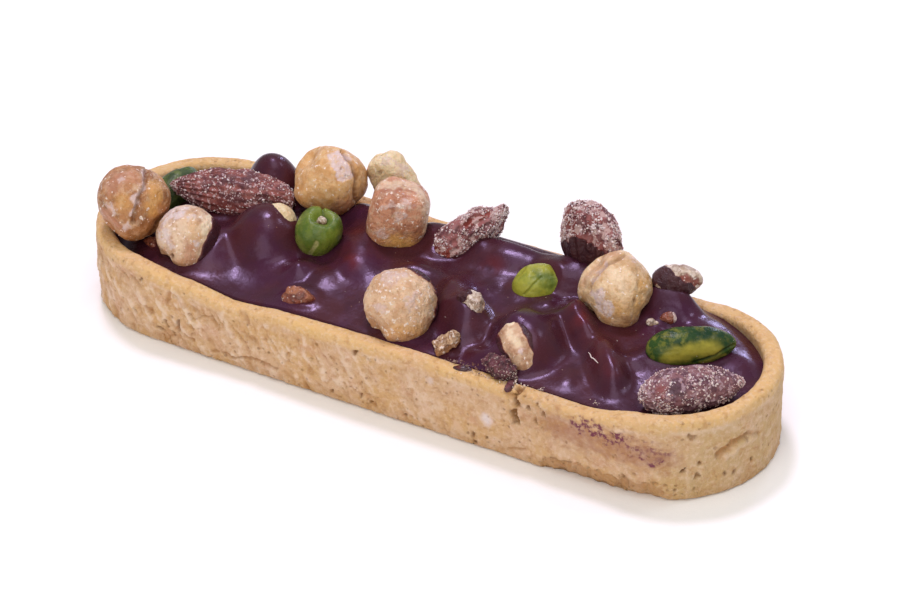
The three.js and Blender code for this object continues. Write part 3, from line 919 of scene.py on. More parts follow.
    def relief(
        self, points: Array, z: Array, rim: Array, chip: Array, slope: Array
    ) -> tuple[Array, dict[str, Array]]:
        """The height of the crust's grain, layers, pits and marks over its plain surface.

        Args:
            points: Places on the plain surface.
            z: Their heights.
            rim: Height of the rim at each station.
            chip: Share of the lower edge that is missing there.
            slope: How far the surface faces outwards, 0 on top and 1 on the wall.

        Returns:
            The height to add, and the masks for the finish, with painted shade in the creases, the sunk
            layers and the pits.
        """
        rng = np.random.default_rng(3)
        wall = np.clip(slope, 0, 1)
        loose = 0.35 + 0.65 * smoothstep(32, -20, points[..., 0])
        band = smoothstep(1.6, 3.0, rim[None, :] - z)
        layer, crease = self.flakes(points)
        height = 0.24 * NOISE(points, 14) + 0.1 * NOISE(points, 4.5) + 0.05 * NOISE(points, 1.9)
        height += 0.05 * NOISE(points, 0.9)
        height += wall * band * loose * (0.3 * layer - 0.36 * crease)
        crumbly = NOISE.rough(points, (1.7, 1.7, 1.1), 3)
        height += wall * (0.05 + 0.09 * loose * band) * crumbly
        foot = wall * smoothstep(3.0, 0.6, z) * (0.35 + 0.65 * smoothstep(-0.2, 0.5, NOISE(points, 8)))
        height += foot * (0.32 * NOISE(points, (1.3, 1.3, 0.8)) - 0.12)
        broken = chip[None, :] * smoothstep(4.6, 3.0, z) * wall
        height += broken * 0.4 * NOISE.rough(points, 1.3, 3)
        masks = {
            "rim": (1 - smoothstep(1.2, 2.6, rim[None, :] - z)) * (0.7 + 0.3 * NOISE(points, 6)),
            # khaki: the crust's own tone towards the round end, with painted shade where the wall turns away
            "khaki": 0.75 * smoothstep(52, 66, points[..., 0]) * wall * (0.7 + 0.3 * NOISE(points, 5)),
            # brown: darker towards the foot and on the broken edge, with painted shade in the creases and the
            # sunk parts of the layers
            "brown": wall * (0.4 * broken + 0.35 * smoothstep(3.2, 0.8, z) * (0.6 + 0.4 * crumbly))
            + wall * band * loose * (0.6 * crease + 0.45 * smoothstep(-0.25, -0.8, layer + 0.4 * crumbly)),
            "pale": 0.7 * smoothstep(0.15, 0.75, layer + 0.35 * crumbly) * wall * band * loose,
            "hole": np.zeros_like(z),
            **{name: np.zeros_like(z) for name in ("smear", "blush", "flour")},
        }
        below_rim = bell((rim[None, :] - z - 2.4) / 0.5)
        masks["pale"] += 0.35 * below_rim * smoothstep(-0.2, 0.4, NOISE(points, 7)) * wall
        low, high = int(0.12 * len(z)), int(0.62 * len(z))
        # each pit is sunk and darkened with painted shade
        for _ in range(self.pit_count):
            row, col = rng.integers(low, high), rng.integers(0, z.shape[1])
            reach = rng.uniform(0.25, 0.6)
            gap = np.linalg.norm((points - points[row, col]) * [1, 1, 1.4], axis=-1)
            dip = bell(gap / reach) * rng.uniform(0.3, 1.0)
            height -= 0.4 * dip
            masks["hole"] = np.maximum(masks["hole"], smoothstep(0.3, 0.9, dip) * 0.5)
        wobble = np.stack([NOISE.rough(points + k, 1.5, 3) for k in (5.0, 25.0, 45.0)], axis=-1)
        for mark in CRUST_MARKS:
            share = mark.field(points, wobble) * np.clip(1 + 2 * slope, 0, 1)
            masks[mark.mask] = np.maximum(masks[mark.mask], share * mark.strength)
            height = height - mark.sink * share
        return height, masks


# ---- nuts ----------------------------------------------------------------------------------------


CHOCOLATE_DARK = ink(60, 26, 37)
CHOCOLATE_WARM = ink(70, 30, 34)
CHOCOLATE_THIN = ink(98, 32, 32)


def facets_form(d: Array, seed: float) -> Array:
    """A broken piece: a ball cut by planes, its radius the power mean of their distances."""
    rng = np.random.default_rng(int(seed * 100))
    normals = unit(rng.normal(size=(16, 3)))
    offsets = rng.uniform(0.72, 1.04, 16)
    sharp = 12
    cuts = np.maximum(d @ normals.T, 0) / offsets
    radius = ((cuts**sharp).sum(-1) + 0.25) ** (-1 / sharp)
    return d * radius[..., None]


def hazelnut_form(d: Array, seed: float) -> Array:
    """Round, with a blunt tip, a flattened scar at the foot, a few soft facets and a crease."""
    turn = np.arctan2(d[..., 1], d[..., 0])
    z = d[..., 2]
    waist = 1 - z * z
    radius = 1 + 0.12 * np.maximum(0, z) ** 4 - 0.1 * np.maximum(0, -z) ** 3
    radius += waist * (0.035 * np.sin(3 * turn + seed) + 0.03 * np.sin(2 * turn - seed))
    radius -= 0.07 * bell(turn / 0.28) * waist
    return d * radius[..., None]


def blocky_form(d: Array, seed: float) -> Array:
    """Flat sides and rounded corners: the radius is a power mean of the three directions."""
    power = 3.2
    radius = 0.95 * (np.abs(d) ** power).sum(-1) ** (-1 / power)
    radius += 0.02 * np.sin(3 * np.arctan2(d[..., 1], d[..., 0]) + seed)
    return d * radius[..., None]


def almond_form(d: Array, seed: float) -> Array:
    """A drop: broad near one end, drawn to a point at the other, with ridges along it."""
    turn = np.arctan2(d[..., 1], d[..., 0])
    z = d[..., 2]
    girth = 1 - 0.22 * z - 0.3 * np.maximum(0, z) ** 5
    girth = girth * (1 + 0.025 * np.sin(5 * turn + seed))
    return np.stack([d[..., 0] * girth, d[..., 1] * girth, z], axis=-1)


def pistachio_form(d: Array, seed: float) -> Array:
    """Long and blunt at both ends, with a keel along one side."""
    turn = np.arctan2(d[..., 1], d[..., 0])
    z = d[..., 2]
    girth = (1 - 0.12 * z) * (1 + 0.07 * np.cos(turn) + 0.03 * np.sin(3 * turn + seed))
    return np.stack([d[..., 0] * girth, d[..., 1] * girth, z], axis=-1)


def dimpled_form(d: Array, seed: float) -> Array:
    """Short and upright, with a dimple in its top and a foot that narrows."""
    turn = np.arctan2(d[..., 1], d[..., 0])
    z = d[..., 2]
    taper = 1 + 0.2 * z - 0.28 * np.maximum(0, -z) ** 2.5
    girth = taper * (1 + 0.03 * np.sin(4 * turn + seed))
    dimple = np.where(z > 0, 0.42 * bell(np.hypot(d[..., 0], d[..., 1]) / 0.34), 0)
    return np.stack([d[..., 0] * girth, d[..., 1] * girth, z - dimple], axis=-1)


class Form(Enum):
    """The forms of nut: each takes directions to a surface about 2 across and 2 long."""

    HAZELNUT = "hazelnut"
    BLOCKY = "blocky"
    ALMOND = "almond"
    PISTACHIO = "pistachio"
    DIMPLED = "dimpled"
    FACETS = "facets"

    def surface(self, directions: Array, seed: float) -> Array:
        """The points of the surface in the given directions."""
        forms = {
            Form.HAZELNUT: hazelnut_form,
            Form.BLOCKY: blocky_form,
            Form.ALMOND: almond_form,
            Form.PISTACHIO: pistachio_form,
            Form.DIMPLED: dimpled_form,
            Form.FACETS: facets_form,
        }
        return forms[self](directions, seed)


@dataclass(frozen=True)
class Mark:
    """A patch, crease or coat on a nut, along a line that the viewer sees.

    The line's points are in millimetres to the right and up of the nut's middle; one point makes a
    round patch. `wide` is the reach to each side, `sink` how far the surface goes in there, and
    `ragged` how uneven the edge is. An empty mask name shapes the nut without colouring it, and
    `outside` turns the mark into all that lies off the line. A coat also covers the far side.
    """

    mask: str
    path: tuple[tuple[float, float], ...]
    wide: float
    sink: float = 0.0
    strength: float = 1.0
    ragged: float = 0.3
    crisp: float = 0.5  # 0 fades from the middle, 1 has a sharp edge
    outside: bool = False

    def field(self, offset: Array) -> Array:
        """How strongly the mark holds at each place.

        Args:
            offset: Places measured from the nut's middle.

        Returns:
            1 on the line, falling to 0 at its reach, on the side that faces the viewer.
        """
        right, upward, back = VIEWER.axes()
        seen = np.stack([offset @ right, offset @ upward], axis=-1)
        wobble = [NOISE.rough(offset + k, 1.3 + 0.4 * self.wide, 3) for k in (5.0, 25.0)]
        seen = seen + np.stack(wobble, axis=-1) * self.ragged * self.wide
        line = np.array(self.path, float)
        if len(line) == 1:
            gap = np.linalg.norm(seen - line[0], axis=-1)
        else:
            gap = distance_to_path(seen, line)
        share = smoothstep(1.0, min(0.95, self.crisp), gap / self.wide)
        if self.mask != "coat":
            share = share * smoothstep(-0.6, 0.6, offset @ back)
        return 1 - share if self.outside else share


Spot = tuple[float, float]


def facet(wide: float, sink: float, *path: Spot, ragged: float = 0.06, crisp: float = 0.0) -> Mark:
    """A soft flat, or a swelling where sink is negative, that gives the nut its own outline."""
    return Mark("", path, wide, sink, ragged=ragged, crisp=crisp)


def peel(
    wide: float,
    strength: float,
    *path: Spot,
    sink: float = -0.1,
    ragged: float = 1.2,
    crisp: float = 0.3,
) -> Mark:
    """A torn shred of pale skin, standing up a little."""
    return Mark("scar", path, wide, sink, strength, ragged, crisp)


def tint(
    mask: str,
    wide: float,
    strength: float,
    *path: Spot,
    sink: float = 0.0,
    ragged: float = 0.5,
    crisp: float = 0.1,
) -> Mark:
    """A patch of colour that fades outwards."""
    return Mark(mask, path, wide, sink, strength, ragged, crisp)


def spot(
    mask: str,
    wide: float,
    sink: float,
    strength: float,
    *path: Spot,
    ragged: float = 0.6,
    crisp: float = 0.2,
) -> Mark:
    """A small sunk fleck or a crease."""
    return Mark(mask, path, wide, sink, strength, ragged, crisp)


NUT_MASKS = ("scar", "pale", "dark", "red", "gold", "blush", "coat")


@dataclass(frozen=True)
class NutFinish(Finish):
    """A nut's surface: two colours in clouds, freckles, flecks, a painted shade underneath and what its marks
    paint.
    """

    light: tuple = ink(226, 182, 130)
    deep: tuple = ink(190, 134, 84)
    scar: tuple = ink(216, 192, 186)
    pale: tuple = ink(238, 216, 184)
    dark: tuple = ink(104, 62, 40)
    red: tuple = ink(128, 52, 40)
    gold: tuple = ink(220, 166, 92)
    blush: tuple = ink(190, 134, 106)
    # the colour of the painted shade on the sides that face down and under the low marks
    low: tuple = ink(176, 112, 60)
    cloud_mm: float = 3.0
    cloud_share: float = 0.75
    freckle_share: float = 0.25
    fleck: tuple = ink(242, 226, 214)
    fleck_mm: float = 1.0
    fleck_low: float = 0.62

    def colour(self, bench: Bench) -> Feed:
        """Clouds, blotches and flecks, then the painted marks and the painted shade underneath, then
        chocolate where coated.
        """
        broken = bench.fit(bench.clouds(0.9, 0.34, 0.56), 0, 1, 0.4, 1.0)
        # low is painted shade; blush, gold and pale are the nut's own colours
        marked = ("low", "blush", "gold", "pale")
        coat = bench.painted("coat")
        cover = bench.blend(bench.clouds(3.0, 0.35, 0.65), CHOCOLATE_DARK, CHOCOLATE_WARM)
        layers = (
            (bench.clouds(self.cloud_mm, 0.42, 0.58), self.cloud_share, self.deep),
            (bench.clouds(1.4, 0.46, 0.64), 0.3, self.pale),
            (bench.effect(PORES, size=0.9, share=self.freckle_share), 0.6, self.deep),
            *((bench.painted(mask), 1.0, getattr(self, mask)) for mask in marked),
            (bench.math("MULTIPLY", bench.painted("scar"), broken), 1.0, self.scar),
            (bench.painted("red"), 1.0, self.red),
            (bench.clouds(self.fleck_mm, self.fleck_low, self.fleck_low + 0.05), 0.85, self.fleck),
            (bench.painted("dark"), 1.0, self.dark),
            (bench.fit(coat, 0.05, 0.45), 1.0, CHOCOLATE_THIN),
            (bench.fit(coat, 0.45, 0.85), 1.0, cover),
        )
        return bench.layered(self.light, layers)

    def gloss(self, bench: Bench) -> Feed:
        """Dull, with a shine where the chocolate lies."""
        patch = bench.clouds(2.0, 0.35, 0.65)
        dull = bench.fit(patch, 0, 1, self.roughness * 0.8, min(1.0, self.roughness * 1.2))
        share = bench.painted("coat")
        kept = bench.math("MULTIPLY", dull, bench.math("SUBTRACT", 1.0, share))
        return bench.math("ADD", kept, bench.math("MULTIPLY", share, 0.34))


@dataclass(frozen=True)
class RidgedFinish(NutFinish):
    """A nut's surface with fine wrinkles along its length, as a painted height."""

    def relief(self, bench: Bench) -> Socket:
        """Fine grain and the painted wrinkles."""
        grain = bench.clouds(0.5, 0.3, 0.7)
        wrinkle = bench.math("MULTIPLY", bench.painted("wrinkle"), 0.6)
        return bench.math("ADD", bench.math("MULTIPLY", grain, 0.6), wrinkle)


HAZELNUT = NutFinish(
    "hazelnut_tan",
    roughness=0.5,
    bump_mm=0.12,
    scatter=0.12,
    light=ink(222, 190, 150),
    deep=ink(190, 148, 100),
)
HAZELNUT_BROWN = NutFinish(
    "hazelnut_brown",
    roughness=0.44,
    bump_mm=0.16,
    scatter=0.1,
    light=ink(180, 126, 80),
    deep=ink(138, 88, 50),
)
HAZELNUT_PALE = NutFinish(
    "hazelnut_pale",
    roughness=0.6,
    bump_mm=0.2,
    scatter=0.12,
    light=ink(222, 186, 150),
    deep=ink(198, 152, 112),
    fleck_low=0.58,
)
HAZELNUT_CREAM = NutFinish(
    "hazelnut_cream",
    roughness=0.6,
    bump_mm=0.16,
    scatter=0.12,
    light=ink(220, 190, 160),
    deep=ink(180, 134, 96),
    scar=ink(220, 204, 204),
    fleck_low=0.6,
)
HAZELNUT_ORANGE = NutFinish(
    "hazelnut_orange",
    roughness=0.42,
    bump_mm=0.08,
    scatter=0.12,
    light=ink(218, 174, 120),
    deep=ink(192, 140, 84),
)
HAZELNUT_YELLOW = NutFinish(
    "hazelnut_yellow",
    roughness=0.6,
    bump_mm=0.2,
    scatter=0.2,
    light=ink(236, 216, 178),
    deep=ink(214, 186, 140),
)
HAZELNUT_SUNK = NutFinish(
    "hazelnut_sunk", roughness=0.4, bump_mm=0.1, scatter=0.1, light=ink(200, 160, 128), deep=ink(160, 114, 82)
)
HAZELNUT_ROSE = NutFinish(
    "hazelnut_rose",
    roughness=0.5,
    bump_mm=0.16,
    scatter=0.12,
    light=ink(200, 140, 108),
    deep=ink(160, 102, 76),
    fleck_low=0.6,
    fleck_mm=0.9,
)
ALMOND = RidgedFinish(
    "almond_skin",
    roughness=0.62,
    bump_mm=0.2,
    light=ink(146, 84, 78),
    deep=ink(84, 40, 48),
    # painted shade underneath
    low=ink(58, 32, 48),
    dark=ink(66, 44, 58),
    red=ink(142, 58, 46),
    pale=ink(176, 136, 134),
    cloud_mm=2.2,
    cloud_share=0.85,
    freckle_share=0.3,
    fleck_mm=0.7,
    fleck_low=0.57,
    fleck=ink(206, 180, 184),
)
ALMOND_CRUSTED = replace(
    ALMOND,
    name="almond_crusted",
    fleck_mm=1.7,
    fleck_low=0.53,
    fleck=ink(204, 172, 168),
    light=ink(152, 92, 90),
)
ALMOND_FROSTED = replace(
    ALMOND,
    name="almond_frosted",
    light=ink(134, 90, 96),
    deep=ink(88, 52, 66),
    fleck_mm=1.2,
    fleck_low=0.55,
    fleck=ink(180, 150, 160),
)
PISTACHIO_OLIVE = RidgedFinish(
    "pistachio_olive",
    roughness=0.42,
    bump_mm=0.06,
    light=ink(66, 86, 30),
    deep=ink(38, 58, 20),
    # painted shade underneath
    low=ink(26, 38, 16),
    pale=ink(132, 142, 62),
    cloud_mm=4.0,
    fleck_low=0.8,
    freckle_share=0.0,
)
PISTACHIO_GREEN = RidgedFinish(
    "pistachio_green",
    roughness=0.3,
    bump_mm=0.05,
    light=ink(104, 122, 36),
    deep=ink(66, 92, 26),
    low=ink(104, 108, 32),
    scar=ink(170, 166, 108),
    pale=ink(136, 140, 62),
    dark=ink(38, 60, 28),
    cloud_mm=4.0,
    fleck_low=0.8,
    freckle_share=0.0,
)
PISTACHIO_DARK = RidgedFinish(
    "pistachio_dark",
    roughness=0.24,
    bump_mm=0.04,
    specular=0.16,
    light=ink(48, 74, 32),
    deep=ink(26, 54, 28),
    low=ink(60, 84, 28),
    pale=ink(170, 160, 64),
    dark=ink(26, 54, 36),
    cloud_mm=4.5,
    cloud_share=0.9,
    freckle_share=0.0,
    fleck_low=0.72,
)
PISTACHIO_BRIGHT = RidgedFinish(
    "pistachio_bright",
    roughness=0.34,
    bump_mm=0.05,
    light=ink(156, 156, 50),
    deep=ink(122, 132, 44),
    # painted shade underneath
    low=ink(126, 122, 36),
    pale=ink(176, 174, 66),
    dark=ink(76, 100, 38),
    cloud_mm=3.5,
    cloud_share=0.7,
    freckle_share=0.1,
    fleck_low=0.75,
)
CHIP_TAN = NutFinish(
    "chip_tan",
    roughness=0.6,
    bump_mm=0.25,
    light=ink(196, 158, 122),
    deep=ink(120, 74, 50),
    fleck_low=0.56,
    cloud_mm=1.2,
)
CHIP_PALE = NutFinish(
    "chip_pale",
    roughness=0.6,
    bump_mm=0.2,
    light=ink(206, 188, 172),
    deep=ink(136, 98, 78),
    fleck_low=0.57,
    cloud_mm=1.2,
)
CHIP_RED = NutFinish(
    "chip_red",
    roughness=0.22,
    bump_mm=0.2,
    light=ink(140, 70, 48),
    deep=ink(88, 36, 30),
    # painted shade underneath
    low=ink(80, 34, 28),
    coat=0.5,
    cloud_mm=1.6,
    fleck_low=0.63,
    pale=ink(190, 124, 88),
)
CRUMB_DARK = NutFinish(
    "crumb_dark",
    roughness=0.4,
    bump_mm=0.2,
    light=ink(104, 52, 60),
    deep=ink(50, 26, 36),
    # painted shade underneath
    low=ink(40, 20, 30),
    cloud_mm=1.1,
    fleck_low=0.66,
    fleck_mm=0.7,
    pale=ink(134, 92, 96),
)


@dataclass
class Nut:
    """One nut, with the place and size of its solid and the marks that the viewer sees on it."""

    name: str
    form: Form
    at: tuple[float, float, float]
    along: tuple[float, float, float]
    size: tuple[float, float, float]
    roll: float
    finish: Finish
    slot: str
    marks: tuple[Mark, ...] = ()
    uneven_mm: float = 0.26
    rough_mm: float = 0.06
    wrinkle_mm: float = 0.0
    wrinkles: int = 22
    rings: int = 100
    around: int = 140
    solid: bool = True

    @property
    def turned(self) -> Array:
        """The turn that rolls the nut about its length and then points its tip."""
        roll = np.radians(self.roll)
        rolled = np.array([[np.cos(roll), -np.sin(roll), 0], [np.sin(roll), np.cos(roll), 0], [0, 0, 1]])
        tip = unit(np.array(self.along))
        axis = np.cross([0, 0, 1], tip)
        skew = np.array([[0, -axis[2], axis[1]], [axis[2], 0, -axis[0]], [-axis[1], axis[0], 0]])
        return (np.eye(3) + skew + skew @ skew / (1 + tip[2])) @ rolled

    @property
    def seed(self) -> float:
        """A number of the nut's own, from the last character of its name."""
        return ord(self.name[-1]) * 1.7

    def gap(self, points: Array) -> Array:
        """About how far points lie outside the nut, taken as an ellipsoid."""
        half = np.array(self.size) / 2
        local = (points - np.array(self.at)) @ self.turned
        share = np.linalg.norm(local / half, axis=-1)
        return np.linalg.norm(local, axis=-1) * (1 - 1 / np.maximum(share, 1e-6))

    def surface(self) -> tuple[Array, Array, dict[str, Array]]:
        """The nut's surface in rings from its foot to its tip.

        Returns:
            The points, the outward directions, and the masks that its marks paint.
        """
        polar = np.linspace(np.pi, 0, self.rings + 2)[1:-1, None]
        turn = np.linspace(0, 2 * np.pi, self.around, endpoint=False)[None, :]
        d = np.stack(
            [np.sin(polar) * np.cos(turn), np.sin(polar) * np.sin(turn), np.cos(polar) + 0 * turn], axis=-1
        )
        half = np.array(self.size) / 2
        points = (self.form.surface(d, self.seed) * half) @ self.turned.T + np.array(self.at)
        if self.solid:
            points = self.settled(points)
        normal = unit(d / half) @ self.turned.T
        offset = points - np.array(self.at)
        height = self.uneven_mm * NOISE.rough(points, 5.0, 3)
        height += self.rough_mm * NOISE.rough(points + 60, 1.2, 2)
        wavy = np.sin(self.wrinkles * turn + 2.4 * NOISE(points, 5.0) + 3 * NOISE(points + 40, 9.0))
        fade = np.sin(polar) ** 0.6
        wrinkle = (0.5 + 0.5 * wavy) * fade * smoothstep(-0.5, 0.4, NOISE(points + 80, 4.0))
        height = height + self.wrinkle_mm * wrinkle
        masks = {name: np.zeros(points.shape[:2]) for name in NUT_MASKS}
        masks["wrinkle"] = wrinkle
        # painted shade: the sides that face down blend towards the finish's low colour, a lighter green on
        # some pistachios
        masks["low"] = 0.6 * smoothstep(0.35, -0.75, normal[..., 2])
        for mark in self.marks:
            share = mark.field(offset)
            if mark.mask:
                masks[mark.mask] = np.maximum(masks[mark.mask], share * mark.strength)
            height = height - mark.sink * share
        return points + normal * height[..., None], normal, masks

    def settled(self, points: Array) -> Array:
        """Stretches the points slightly so that they fill the box of the nut's solid."""
        low, high = (np.array(corner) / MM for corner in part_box(self.name))
        first, last = points.min((0, 1)), points.max((0, 1))
        return low + (points - first) * (high - low) / (last - first)

    def build(self) -> bpy.types.Object:
        """Makes the nut."""
        points, _, masks = self.surface()
        nodes = [self.name] if self.solid else []
        name = f"{self.name}_skin" if self.solid else self.name
        return serve(Shape.tube(points, masks), name, self.finish, nodes)


